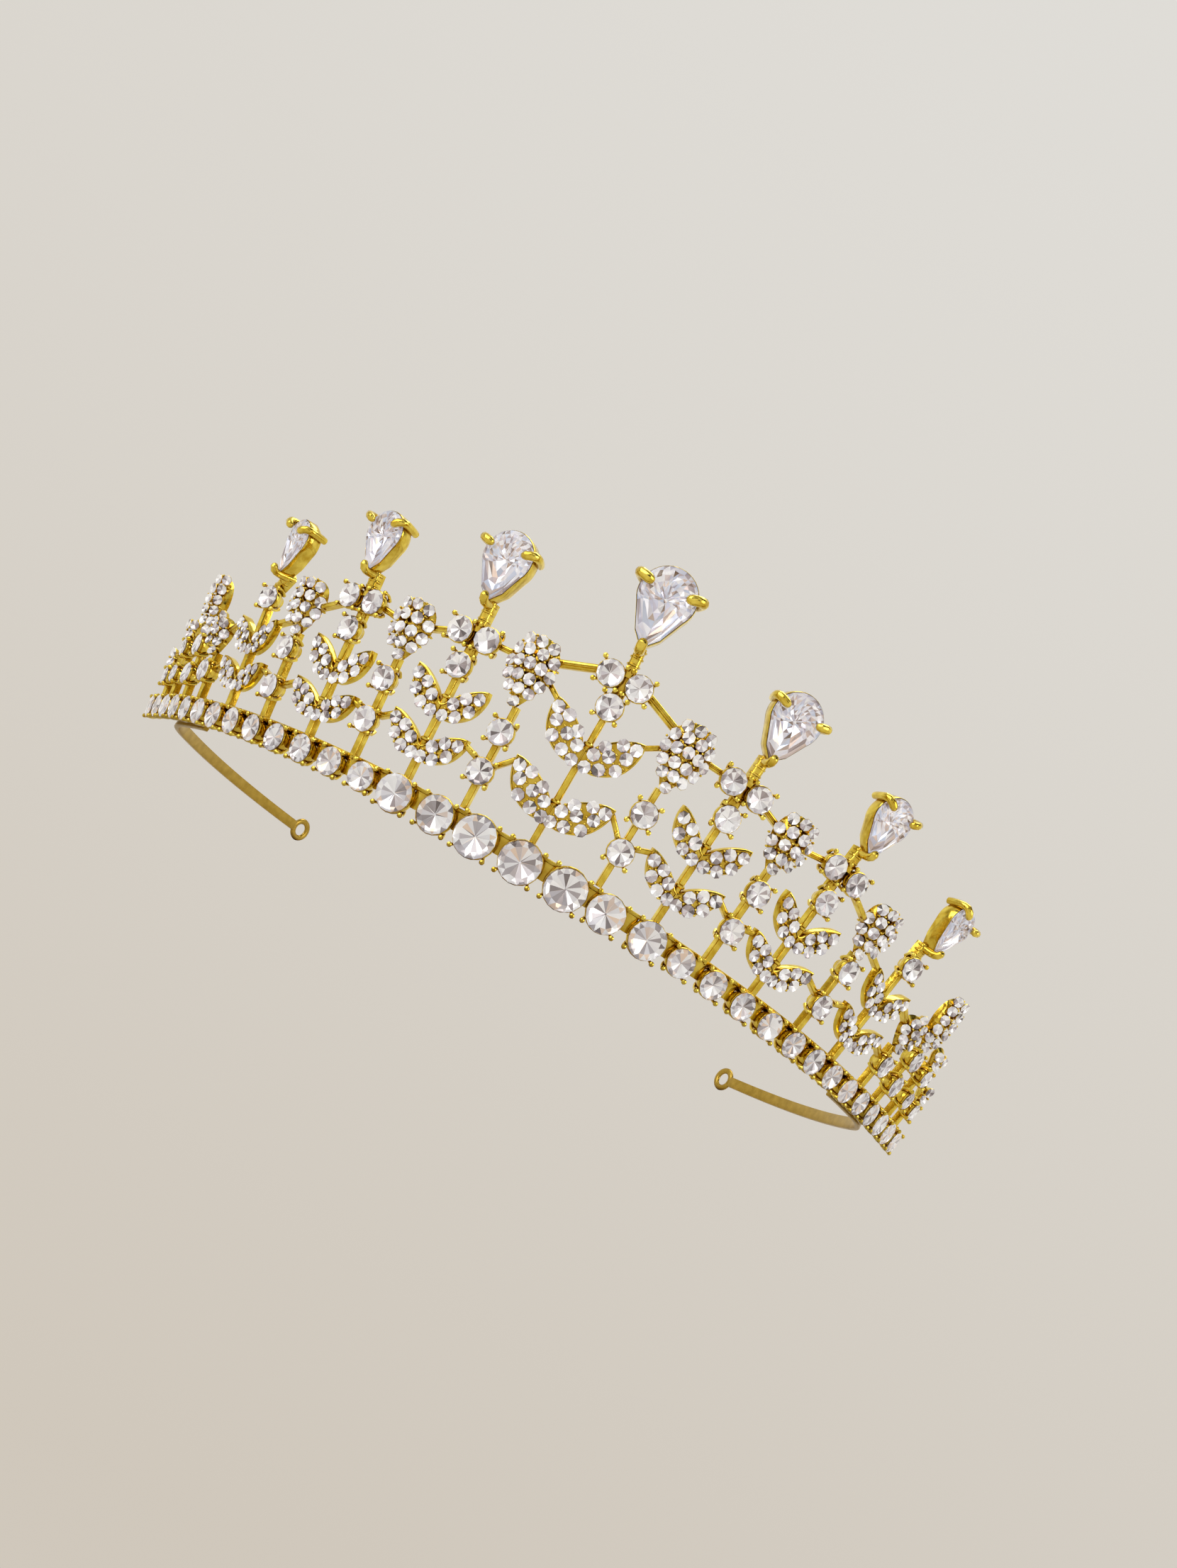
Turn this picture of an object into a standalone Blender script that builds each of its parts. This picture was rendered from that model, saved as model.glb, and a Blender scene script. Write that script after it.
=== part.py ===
"""Tiara: a cast lattice front on a flat headband, set with clear stones.

Flat layout first, in millimetres: s runs along the base row from the centre, h runs up the wall,
n stands out from it. Each upright's ornament is flat in its own tangent plane, as it was cast,
and the base row bends from plane to plane.
"""
import math

import bmesh
import bpy
from mathutils import Vector

MM = 0.001

# Plan of the wall: heading = BEND * s - EASE * s**3 / 3, so the sides run straighter than the front.
BEND = 0.014141
EASE = 1.146e-6
LEAN = math.radians(14.0)
PATH_STEP = 0.5
PATH_END = 104.0

# Levels out from the girdles of the base row.
BACK = -2.6
BED_FRONT = -0.75
RIM = -0.35
GAP = 0.34

# Base row.
STONE_BIG = 3.12
STONE_MIDDLE = 2.80
STONE_SMALL = 2.15
STEPS = (7.18, 6.52, 6.90, 6.02)
PITCH = 6.146
ROW_SIDE = 16
CUP_WALL = 0.42
RAIL_LOW, RAIL_TOP = 1.2, 2.15
RAIL_BACK, RAIL_FRONT = -2.45, -1.25

# Cut of the round stones, as shares of the girdle radius.
CROWN = 0.34
TABLE = 0.58
PAVILION = 0.56
SIDES = 8
FEW_SIDES = 6

# Pear uprights: place, pear width, pear height, foot of the pear, its lean outwards and its claws' angle.
PEAR_STEMS = {
    "centre": (0.0, 8.3, 12.0, 33.3, 0.0, 15.0),
    "second": (20.5, 7.6, 10.6, 29.7, 0.0, 16.0),
    "third": (39.8, 6.8, 9.4, 28.0, 0.0, 28.0),
    "fourth": (62.2, 6.2, 9.2, 24.6, 12.0, 30.0),
}
TREFOILS = {"centre": (28.45, 24.3, 2.25), "second": (24.7, 20.0, 2.3), "third": (23.75, 19.0, 2.5)}
SINGLE_HIGH = 20.6

# How far the foot of the bent left outer pear stands inwards, and its lean.
BENT_IN = 3.6
BENT_LEAN = -14.0
CHATON = 1.95
CHATON_WALL = 0.36
PEAR_GIRDLE = 1.0
PEAR_RIM = PEAR_GIRDLE - 0.34
PEAR_BACK = -2.9
PEAR_WALL = 0.4
PEAR_SEAT = 0.55
CLAW_LOW, CLAW_HIGH = -0.8, PEAR_GIRDLE + 0.7
NECK_HALF = 0.9
NECK_LEVELS = (-2.5, -1.6)

# Leaf pairs, lower and upper: height of the root, length, rise in degrees and half width.
LEAVES = {
    "centre": ((7.0, 9.6, 32.5, 2.35), (16.0, 9.4, 41.5, 2.4)),
    "second": ((6.2, 7.9, 35.0, 1.8), (12.8, 8.1, 42.0, 1.85)),
    "third": ((5.4, 7.8, 33.0, 1.75), (11.5, 8.1, 42.5, 1.8)),
    "fourth": ((5.6, 7.8, 32.0, 1.75), (11.9, 7.9, 42.5, 1.8)),
}

# Edge of a leaf from its root round the tip: shares of its length and of its half width.
LEAF_EDGE = (
    (0.0, -0.6),
    (0.32, -1.4),
    (0.63, -1.36),
    (0.89, -0.6),
    (1.0, 0.05),
    (0.64, 0.64),
    (0.18, 0.5),
)
LOW_LEAF_LIFT = 0.18

# Bud uprights: place, heights of the round stones, foot of the bud, its half width and height.
BUD_STEMS = {
    "first_bud": (10.9, (8.15, 14.2), 17.7, 3.6, 11.4),
    "second_bud": (30.2, (7.65, 14.0), 17.0, 3.3, 9.8),
    "third_bud": (51.1, (6.95, 13.4), 15.7, 3.1, 9.6),
    "end_sprig": (74.4, (7.0,), 9.9, 2.6, 7.0),
    "end_bud": (82.6, (6.2, 11.5), 13.2, 2.7, 11.2),
    "end_stem": (91.3, (6.3, 11.2), 13.0, 1.7, 4.4),
    "last_stem": (97.9, (6.0,), 7.9, 1.4, 3.4),
}
SMALL_CHATON = 1.7
SMALL_STEMS = ("end_stem", "last_stem")
STEM_HALF = 0.55
STEM_BACK = -2.4
LINK_LEVEL = -1.6

# Links from one upright to the next: upright, sideways outwards and height of both ends, and half width.
LINKS = (
    (("centre", 3.9, 28.3), ("first_bud", -3.0, 26.6), 0.5),
    (("centre", 6.4, 21.6), ("first_bud", -3.0, 23.4), 0.4),
    (("centre", 7.6, 11.8), ("first_bud", -1.2, 9.6), 0.4),
    (("first_bud", 3.0, 24.8), ("second", -3.6, 24.8), 0.45),
    (("first_bud", 1.2, 9.4), ("second", -5.8, 10.4), 0.4),
    (("second", 3.6, 24.3), ("second_bud", -2.8, 23.2), 0.45),
    (("second", 5.8, 10.3), ("second_bud", -1.2, 8.8), 0.4),
    (("second_bud", 2.8, 22.8), ("third", -3.8, 23.6), 0.5),
    (("second_bud", 1.2, 8.6), ("third", -6.0, 9.2), 0.4),
    (("third", 3.6, 22.9), ("third_bud", -2.6, 20.8), 0.4),
    (("third", 6.0, 9.2), ("third_bud", -1.2, 7.8), 0.4),
    (("third_bud", 1.8, 18.2), ("fourth", -5.2, 16.8), 0.4),
    (("third_bud", 1.2, 8.0), ("fourth", -6.0, 9.3), 0.4),
    (("fourth", 6.0, 9.3), ("end_sprig", -1.2, 7.6), 0.4),
    (("fourth", 5.4, 16.6), ("end_sprig", -1.6, 14.4), 0.4),
    (("end_sprig", 1.8, 14.4), ("end_bud", -1.6, 17.0), 0.45),
    (("end_sprig", 1.2, 7.2), ("end_bud", -1.2, 6.6), 0.4),
    (("end_bud", 1.2, 11.2), ("end_stem", -1.2, 11.2), 0.4),
    (("end_stem", 1.2, 6.4), ("last_stem", -1.2, 6.2), 0.4),
)

# Headband: a flat ribbon soldered behind the row's ends, then bending back round the head.
BAND_START = 72.0
BAND_LEAVE = 86.0
BAND_HEIGHT = 2.2
BAND_THICK = 0.9
BAND_Z = -0.5
BAND_BENDS = ((22.0, 36.0), (85.0, 33.0))
LOOP_RADIUS = 2.72
LOOP_HOLE = 1.3
LOOP_SINK = 0.5


def clear_scene():
    for obj in list(bpy.data.objects):
        bpy.data.objects.remove(obj, do_unlink=True)


def heading(s):
    return BEND * s - EASE * s**3 / 3.0


def wall_path():
    """Points of the base line at even steps of s, from the centre to one side."""
    points = [(0.0, 0.0)]
    for i in range(int(PATH_END / PATH_STEP)):
        middle = heading((i + 0.5) * PATH_STEP)
        x, y = points[-1]
        points.append((x + math.cos(middle) * PATH_STEP, y + math.sin(middle) * PATH_STEP))
    return points


PATH = wall_path()


def base_point(s):
    side = -1.0 if s < 0 else 1.0
    place = min(abs(s) / PATH_STEP, len(PATH) - 1.001)
    i = int(place)
    part = place - i
    x = PATH[i][0] * (1 - part) + PATH[i + 1][0] * part
    y = PATH[i][1] * (1 - part) + PATH[i + 1][1] * part
    return side * x, y


def plane(s):
    """The flat of an upright at s, as a function of sideways u, up h and outwards n."""
    x, y = base_point(s)
    turn = heading(abs(s)) * (-1.0 if s < 0 else 1.0)
    along = Vector((math.cos(turn), math.sin(turn), 0.0))
    out = Vector((math.sin(turn), -math.cos(turn), 0.0))
    up = out * math.sin(LEAN) + Vector((0, 0, 1)) * math.cos(LEAN)
    face = out * math.cos(LEAN) - Vector((0, 0, 1)) * math.sin(LEAN)
    start = Vector((x, y, 0.0))

    def place(u, h, n):
        return (start + along * u + up * h + face * n) * MM

    return place


def new_object(name, faces_of, material=None, helper=False):
    mesh = bpy.data.meshes.new(name)
    work = bmesh.new()
    faces_of(work)
    bmesh.ops.recalc_face_normals(work, faces=work.faces)
    if work.calc_volume(signed=True) < 0:
        bmesh.ops.reverse_faces(work, faces=work.faces)
    work.to_mesh(mesh)
    work.free()
    obj = bpy.data.objects.new(name, mesh)
    bpy.context.scene.collection.objects.link(obj)
    if material:
        mesh.materials.append(material)
    if helper:
        obj.hide_render = True
        obj.display_type = "WIRE"
    return obj


def skin(work, rings, close=False):
    """Joins rings of equal counts and caps the first and the last, or closes the chain on itself."""
    verts = [[work.verts.new(p) for p in ring] for ring in rings]
    count = len(rings[0])
    pairs = list(zip(verts, verts[1:]))
    if close:
        pairs.append((verts[-1], verts[0]))
    for low, high in pairs:
        for i in range(count):
            j = (i + 1) % count
            work.faces.new((low[i], low[j], high[j], high[i]))
    if not close:
        work.faces.new(verts[0][::-1])
        work.faces.new(verts[-1])


def tip(work, ring, point):
    """Closes a ring onto one point."""
    peak = work.verts.new(point)
    count = len(ring)
    for i in range(count):
        work.faces.new((ring[i], ring[(i + 1) % count], peak))


def circle(radius, sides=SIDES):
    """Corners of a regular outline with a flat top and a flat foot."""
    start = 0.5 if sides % 4 == 0 else 0.0
    turns = [math.tau * (i + start) / sides for i in range(sides)]
    return [(radius * math.cos(t), radius * math.sin(t)) for t in turns]


def turned(outline, turn):
    c, s = math.cos(turn), math.sin(turn)
    return [(c * u - s * h, s * u + c * h) for u, h in outline]


def at(place, u, h, outline, n):
    return [place(u + p[0], h + p[1], n) for p in outline]


def grow(outline, by):
    """The outline moved outwards by a distance, corner by corner."""
    moved = []
    count = len(outline)
    for i in range(count):
        before, here, after = (Vector(outline[k % count]) for k in (i - 1, i, i + 1))
        first = (here - before).normalized()
        second = (after - here).normalized()
        side = Vector((first.y + second.y, -first.x - second.x)).normalized()
        spread = max(0.45, side.dot(Vector((first.y, -first.x))))
        moved.append(tuple(here + side * (by / spread)))
    return moved


def middle_of(outline):
    return tuple(sum(p[k] for p in outline) / len(outline) for k in (0, 1))


def pear_outline(width, height, count=12):
    """Round at the top and pointed at the foot; the foot is at the origin. Runs anticlockwise."""
    radius = width / 2.0
    centre = height - radius
    touch = math.asin(radius / centre)
    shoulder = math.tau / 2.0 + 2.0 * touch
    points = [(0.0, 0.0)]
    for i in range(count - 1):
        angle = -touch + shoulder * i / (count - 2)
        points.append((radius * math.cos(angle), centre + radius * math.sin(angle)))
    return points


def cut_stone(name, place, u, h, outline, radius, girdle, material):
    """A faceted stone: table, crown, edge and a pavilion closing on a point."""
    middle = middle_of(outline)

    def shrink(share):
        return [tuple(m + (v - m) * share for v, m in zip(p, middle)) for p in outline]

    def faces_of(work):
        table = [work.verts.new(v) for v in at(place, u, h, shrink(TABLE), girdle + CROWN * radius)]
        edge = [work.verts.new(v) for v in at(place, u, h, outline, girdle)]
        work.faces.new(table)
        count = len(outline)
        for i in range(count):
            j = (i + 1) % count
            work.faces.new((edge[i], edge[j], table[j], table[i]))
        tip(work, edge[::-1], place(u + middle[0], h + middle[1], girdle - PAVILION * radius))

    return new_object(name, faces_of, material)


def stone_cup(name, place, u, h, radius, wall, sides=SIDES):
    """A cup with a pocket that clears the stone's pavilion by GAP."""
    outer = radius + wall
    depth = PAVILION * radius
    slope = math.hypot(1.0, PAVILION)
    mouth = radius * (1.0 + RIM / depth) + GAP * slope / PAVILION
    bottom = -depth - GAP * slope

    def faces_of(work):
        rings = [(outer * 0.86, BACK), (outer, RIM), (min(mouth, outer - 0.14), RIM)]
        verts = [[work.verts.new(v) for v in at(place, u, h, circle(r, sides), n)] for r, n in rings]
        work.faces.new(verts[0][::-1])
        for low, high in zip(verts, verts[1:]):
            for i in range(sides):
                j = (i + 1) % sides
                work.faces.new((low[i], low[j], high[j], high[i]))
        tip(work, verts[-1], place(u, h, max(bottom, BACK + 0.25)))

    return new_object(name, faces_of, helper=True)


def fused_cup(name, place, u, h, radius):
    """A round stone and its cup in one body."""
    outer = radius + CHATON_WALL

    def faces_of(work):
        rings = [
            (outer * 0.86, BACK),
            (outer, RIM),
            (radius * TABLE, CROWN * radius),
        ]
        skin(work, [at(place, u, h, circle(r, FEW_SIDES), n) for r, n in rings])

    return new_object(name, faces_of, helper=True)


def slab(name, place, outline, back, front, rise=0.0):
    """A flat plate; rise bevels its front edge."""

    def faces_of(work):
        rings = [at(place, 0, 0, outline, back), at(place, 0, 0, outline, front - rise)]
        if rise:
            rings.append(at(place, 0, 0, grow(outline, -rise), front))
        skin(work, rings)

    return new_object(name, faces_of, helper=True)


def bar(name, start, end, half, sides=3):
    """A straight bar between two points in space, of half width half."""
    axis = (end - start).normalized()
    side = axis.cross(Vector((0, 0, 1)))
    if side.length < 0.2:
        side = axis.cross(Vector((0, 1, 0)))
    side.normalize()
    top = side.cross(axis)
    turns = [math.tau * (i + 0.25) / sides for i in range(sides)]
    reach = 1.3 * half * MM

    def faces_of(work):
        skin(
            work,
            [[p + (side * math.cos(t) + top * math.sin(t)) * reach for t in turns] for p in (start, end)],
        )

    return new_object(name, faces_of, helper=True)


def claw(name, place, u, h, turn, inner, high, half=0.42, lean=0.5):
    """A three-sided claw beside a stone, its flat turned to the stone and leaning back to the collet."""
    across = Vector((math.cos(turn), math.sin(turn)))
    sideways = Vector((-across.y, across.x))
    middle = Vector((u, h))

    def ring(near, n):
        inner_face = middle + across * near
        outer = inner_face + across * 1.5 * half
        corners = (inner_face - sideways * half, inner_face + sideways * half, outer)
        return [place(c.x, c.y, n) for c in corners]

    def faces_of(work):
        skin(work, [ring(inner - lean, CLAW_LOW), ring(inner + 0.1, high)])

    return new_object(name, faces_of, helper=True)


def leaf_edge(foot, length, rise, half, lift=0.0):
    """Right side of a leaf pair, from the stem to the tip and back, curving up as it goes."""
    shape = [(t * length, (w + lift) * half) for t, w in LEAF_EDGE]
    points = [(u, foot + h) for u, h in turned(shape, math.radians(rise))]
    (u0, h0), (u1, h1) = points[-1], points[-2]
    points[-1] = (STEM_HALF, h0 + (h1 - h0) * (STEM_HALF - u0) / (u1 - u0))
    return points


def bud_edge(foot, half, height):
    """Right side of a bud: a drop with a round top."""
    shape = [(0.62, 0.25), (1.0, 0.58), (0.86, 0.87), (0.4, 1.0)]
    return [(STEM_HALF, foot)] + [(half * a, foot + height * b) for a, b in shape]


def both_sides(edge):
    """An outline from its right edge, read from the bottom up, and the same edge mirrored."""
    return edge + [(-u, h) for u, h in reversed(edge)]


def gold(name, colour=(0.83, 0.58, 0.18), rough=0.22):
    material = bpy.data.materials.new(name)
    material.use_nodes = True
    shader = material.node_tree.nodes["Principled BSDF"]
    shader.inputs["Base Color"].default_value = (*colour, 1.0)
    shader.inputs["Metallic"].default_value = 1.0
    shader.inputs["Roughness"].default_value = rough
    return material


def crystal(name, colour):
    material = bpy.data.materials.new(name)
    material.use_nodes = True
    shader = material.node_tree.nodes["Principled BSDF"]
    shader.inputs["Base Color"].default_value = (*colour, 1.0)
    shader.inputs["Roughness"].default_value = 0.02
    shader.inputs["IOR"].default_value = 1.55
    shader.inputs["Transmission Weight"].default_value = 0.8
    return material


def row_place(i):
    """Where the i-th stone of the base row sits, counted from the centre, and its radius."""
    s = 0.0
    for k in range(abs(i)):
        s += STEPS[k] if k < len(STEPS) else PITCH
    radius = STONE_BIG if abs(i) < 2 else STONE_MIDDLE if abs(i) < 4 else STONE_SMALL
    return math.copysign(s, i), radius


def stem_foot(s):
    """How high a stem starts: clear of the pocket of a cup that it stands on."""
    for i in range(ROW_SIDE + 1):
        where, radius = row_place(i)
        if abs(s - where) < radius:
            return radius - 0.4
    return RAIL_TOP - 0.4


def sides_of(key):
    return (1,) if key == "centre" else (-1, 1)


def label(key, side):
    return key if key == "centre" else key + ("_right" if side > 0 else "_left")


def base_row(parts, make_crystal):
    for i in range(-ROW_SIDE, ROW_SIDE + 1):
        s, radius = row_place(i)
        place = plane(s)
        name = "row_%02d" % (i + ROW_SIDE + 1)
        sides = FEW_SIDES if radius == STONE_SMALL else SIDES
        parts.append(stone_cup(name + "_cup", place, 0, 0, radius, CUP_WALL, sides))
        stone = "base_stone_%02d" % (i + ROW_SIDE + 1)
        cut_stone(stone, place, 0, 0, circle(radius, sides), radius, 0.0, make_crystal())


def rail(parts):
    """The strip along the top of the row."""
    last = row_place(ROW_SIDE)[0] + 1.6
    stations = [-last] + [row_place(i)[0] for i in range(-ROW_SIDE, ROW_SIDE + 1)] + [last]
    corners = (
        (RAIL_LOW, RAIL_BACK),
        (RAIL_LOW, RAIL_FRONT),
        (RAIL_TOP, RAIL_FRONT),
        (RAIL_TOP, RAIL_BACK),
    )
    rings = [[plane(s)(0, h, n) for h, n in corners] for s in stations]
    parts.append(new_object("rail", lambda work: skin(work, rings), helper=True))


def pear_stem(parts, key, side, make_crystal):
    s, width, height, foot, lean, claw_turn = PEAR_STEMS[key]
    place = plane(side * s)
    name = label(key, side)
    bent = BENT_IN if name == "fourth_left" else 0.0
    lean = -side * math.radians(BENT_LEAN if bent else lean)
    shift = -side * bent
    radius = width / 2.0
    outline = turned(pear_outline(width, height), lean)
    wide = grow(outline, PEAR_WALL)
    inner = grow(outline, -PEAR_SEAT)
    middle = middle_of(outline)

    def collet(work):
        back = [tuple(m + (v - m) * 0.9 for v, m in zip(p, middle)) for p in wide]
        rings = [(back, PEAR_BACK), (wide, PEAR_RIM), (inner, PEAR_RIM)]
        verts = [[work.verts.new(v) for v in at(place, shift, foot, o, n)] for o, n in rings]
        work.faces.new(verts[0][::-1])
        for low, high in zip(verts, verts[1:]):
            for i in range(len(outline)):
                j = (i + 1) % len(outline)
                work.faces.new((low[i], low[j], high[j], high[i]))
        depth = PAVILION * radius + 0.6
        tip(work, verts[-1], place(shift + middle[0], foot + middle[1], PEAR_GIRDLE - depth))

    parts.append(new_object(name + "_collet", collet, helper=True))
    heart = turned([(0.0, height - radius)], lean)[0]
    for k, turn in enumerate((claw_turn, 180.0 - claw_turn)):
        turn = math.radians(turn) + lean
        reach = radius + GAP
        at_heart = (shift + heart[0], foot + heart[1])
        parts.append(claw("%s_claw%d" % (name, k), place, *at_heart, turn, reach, CLAW_HIGH))
    parts.append(claw(name + "_claw_low", place, shift, foot, lean - math.pi / 2, GAP, CLAW_HIGH))
    edge = [(STEM_HALF, stem_foot(s))]
    for leaf, lift in zip(LEAVES[key], (LOW_LEAF_LIFT, 0.0)):
        edge += leaf_edge(*leaf, lift)
    upper, lower, apart = TREFOILS.get(key, (SINGLE_HIGH, SINGLE_HIGH, 0.0))
    edge.append((STEM_HALF, lower - CHATON + 0.1))
    parts.append(slab(name + "_upright", place, both_sides(edge), STEM_BACK, BED_FRONT))
    low, high = upper - 0.5, foot + 1.2
    ends = ((-NECK_HALF, low), (NECK_HALF, low), (shift + NECK_HALF, high), (shift - NECK_HALF, high))
    parts.append(slab(name + "_neck", place, ends, *NECK_LEVELS))
    cut_stone(name + "_pear", place, shift, foot, outline, radius, PEAR_GIRDLE, make_crystal())
    spots = [("single", shift / 3.0, SINGLE_HIGH)]
    if key in TREFOILS:
        spots = [("inner", -side * apart, upper), ("outer", side * apart, upper), ("lower", 0.0, lower)]
    for spot, u, h in spots:
        parts.append(stone_cup("%s_%s_cup" % (name, spot), place, u, h, CHATON, CHATON_WALL))
        cut_stone("%s_%s_stone" % (name, spot), place, u, h, circle(CHATON), CHATON, 0.0, make_crystal())


def bud_stem(parts, key, side):
    s, rounds, foot, half, height = BUD_STEMS[key]
    place = plane(side * s)
    name = label(key, side)
    edge = [(STEM_HALF, stem_foot(s))] + bud_edge(foot, half, height)
    parts.append(slab(name + "_upright", place, both_sides(edge), STEM_BACK, BED_FRONT))
    for k, h in enumerate(rounds):
        radius = SMALL_CHATON if key in SMALL_STEMS else CHATON
        parts.append(fused_cup("%s_round%d" % (name, k), place, 0, h, radius))


def links(parts):
    """The short bars that tie one upright to the next."""
    stems = {key: stem[0] for key, stem in (*PEAR_STEMS.items(), *BUD_STEMS.items())}
    for side in (-1, 1):
        for k, ((first, u0, h0), (second, u1, h1), half) in enumerate(LINKS):
            start = plane(side * stems[first])(side * u0, h0, LINK_LEVEL)
            end = plane(side * stems[second])(side * u1, h1, LINK_LEVEL)
            parts.append(bar("link_%d_%d" % (side, k), start, end, half))


def lattice(make_crystal):
    """The cast front: every cup, bed, stem and link joined into one body."""
    parts = []
    rail(parts)
    base_row(parts, make_crystal)
    for key in PEAR_STEMS:
        for side in sides_of(key):
            pear_stem(parts, key, side, make_crystal)
    for key in BUD_STEMS:
        for side in (-1, 1):
            bud_stem(parts, key, side)
    links(parts)
    frame = parts.pop(0)
    frame.name = "frame"
    frame.hide_render = False
    frame.display_type = "TEXTURED"
    frame.data.materials.append(gold("cast_gold"))
    group = bpy.data.collections.new("frame_parts")
    bpy.context.scene.collection.children.link(group)
    for part in parts:
        bpy.context.scene.collection.objects.unlink(part)
        group.objects.link(part)
    join = frame.modifiers.new("join", "BOOLEAN")
    join.operation = "UNION"
    join.solver = "EXACT"
    join.operand_type = "COLLECTION"
    join.collection = group
    return frame


def band_path():
    """Plan points and headings of one side of the headband, from behind the row to its end."""
    points = []
    s = BAND_START
    inside = BACK - GAP - BAND_THICK / 2.0 - BAND_HEIGHT / 2.0 * math.sin(LEAN)
    shift = BAND_Z * math.tan(LEAN) + inside / math.cos(LEAN)
    while s <= BAND_LEAVE + 1e-6:
        x, y = base_point(s)
        turn = heading(s)
        points.append((x + math.sin(turn) * shift, y - math.cos(turn) * shift, turn))
        s += 3.5
    for radius, degrees in BAND_BENDS:
        steps = max(3, int(round(degrees / 7.0)))
        for _ in range(steps):
            x, y, turn = points[-1]
            swing = math.radians(degrees) / steps
            middle = turn + swing / 2.0
            length = 2.0 * radius * math.sin(swing / 2.0)
            points.append((x + math.cos(middle) * length, y + math.sin(middle) * length, turn + swing))
    return points


def headband(side, material):
    """Half of the headband with its end loop."""
    points = band_path()
    half = BAND_HEIGHT / 2.0
    x, y, turn = points[-1]

    def faces_of(work):
        rings = []
        for px, py, t in points:
            out = (math.sin(t) * BAND_THICK / 2.0, -math.cos(t) * BAND_THICK / 2.0)
            ring = []
            for o, z in ((-1, -half), (1, -half), (1, half), (-1, half)):
                ring.append(Vector((side * (px + out[0] * o), py + out[1] * o, BAND_Z + z)) * MM)
            rings.append(ring)
        skin(work, rings)

    strap = new_object("headband_right" if side > 0 else "headband_left", faces_of, material)
    along = (math.cos(turn), math.sin(turn))
    out = (math.sin(turn), -math.cos(turn))
    reach = LOOP_RADIUS - LOOP_SINK

    def disc(work, radius, thick):
        rings = []
        for o in (-thick, thick):
            ring = []
            for c, z in circle(radius, 10):
                px = x + along[0] * (reach + c) + out[0] * o
                py = y + along[1] * (reach + c) + out[1] * o
                ring.append(Vector((side * px, py, BAND_Z + z)) * MM)
            rings.append(ring)
        skin(work, rings)

    ring = new_object("loop%d" % side, lambda work: disc(work, LOOP_RADIUS, BAND_THICK / 2.0), helper=True)
    hole = new_object("hole%d" % side, lambda work: disc(work, LOOP_HOLE, BAND_THICK), helper=True)
    for name, helper, operation in (("loop", ring, "UNION"), ("hole", hole, "DIFFERENCE")):
        step = strap.modifiers.new(name, "BOOLEAN")
        step.operation = operation
        step.solver = "EXACT"
        step.object = helper
    return strap


def settle():
    """Moves the whole onto the floor, with the origin under the middle of its box."""
    bpy.context.view_layer.update()
    graph = bpy.context.evaluated_depsgraph_get()
    low = Vector((1e9,) * 3)
    high = Vector((-1e9,) * 3)
    shown = [obj for obj in bpy.data.objects if not obj.hide_render]
    for obj in shown:
        mesh = obj.evaluated_get(graph).to_mesh()
        for vert in mesh.vertices:
            for k in range(3):
                low[k] = min(low[k], vert.co[k])
                high[k] = max(high[k], vert.co[k])
        obj.evaluated_get(graph).to_mesh_clear()
    shift = Vector((-(low.x + high.x) / 2.0, -(low.y + high.y) / 2.0, -low.z))
    for obj in bpy.data.objects:
        for vert in obj.data.vertices:
            vert.co += shift
    print("shift", tuple(round(v * 1000, 3) for v in shift))


def main():
    clear_scene()
    count = [0]

    def make_crystal():
        count[0] += 1
        return crystal("crystal_%02d" % count[0], (0.97, 0.97, 1.0))

    lattice(make_crystal)
    for side in (-1, 1):
        headband(side, gold("band_gold_%d" % (side + 1)))
    settle()


main()
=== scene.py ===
"""Tiara, dressed: a gold-plated lattice front set with crystals, on a flat headband.

Every form is drawn flat, in millimetres, with u sideways, h up the wall and n out of it, and is
then carried to its place on the curved, leaning wall of the tiara.
"""
import math
import random

import bmesh
import bpy
from mathutils import Matrix, Vector


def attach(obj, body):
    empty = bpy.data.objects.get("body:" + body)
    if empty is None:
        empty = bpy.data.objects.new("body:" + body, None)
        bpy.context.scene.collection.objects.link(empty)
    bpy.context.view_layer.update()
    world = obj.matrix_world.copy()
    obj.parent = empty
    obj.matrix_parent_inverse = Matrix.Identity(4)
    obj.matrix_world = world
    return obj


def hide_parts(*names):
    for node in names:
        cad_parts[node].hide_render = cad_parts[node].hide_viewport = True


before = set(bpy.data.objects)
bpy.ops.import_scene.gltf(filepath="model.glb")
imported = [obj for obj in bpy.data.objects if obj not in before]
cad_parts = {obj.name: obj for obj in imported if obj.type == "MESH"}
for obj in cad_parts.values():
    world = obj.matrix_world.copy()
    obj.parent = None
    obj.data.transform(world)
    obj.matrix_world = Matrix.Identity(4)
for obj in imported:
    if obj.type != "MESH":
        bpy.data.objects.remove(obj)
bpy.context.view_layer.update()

CHANCE = random.Random(7)

# The wall of the tiara, as the solids have it.
BEND = 0.014141
EASE = 1.146e-6
LEAN = math.radians(14.0)
PATH_STEP = 0.5
PATH_END = 104.0
ROW_SHIFT = Vector((0.0, -47.729, 3.089))

# Levels out from the girdles of the base row.
BACK = -2.6
STEM_BACK = -2.2
LEAF_BACK = -1.9
STEM_FRONT = -0.75
PLATE_FRONT = -0.55
RIM = -0.3

# Base row.
STONE_BIG, STONE_MIDDLE, STONE_SMALL = 3.12, 2.80, 2.15
STEPS = (7.18, 6.52, 6.90, 6.02)
PITCH = 6.146
ROW_SIDE = 16
CUP_WALL = 0.1
PRONG_REACH = 0.45
PAVE = 0.98
BUD_PAVE = 0.92

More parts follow.
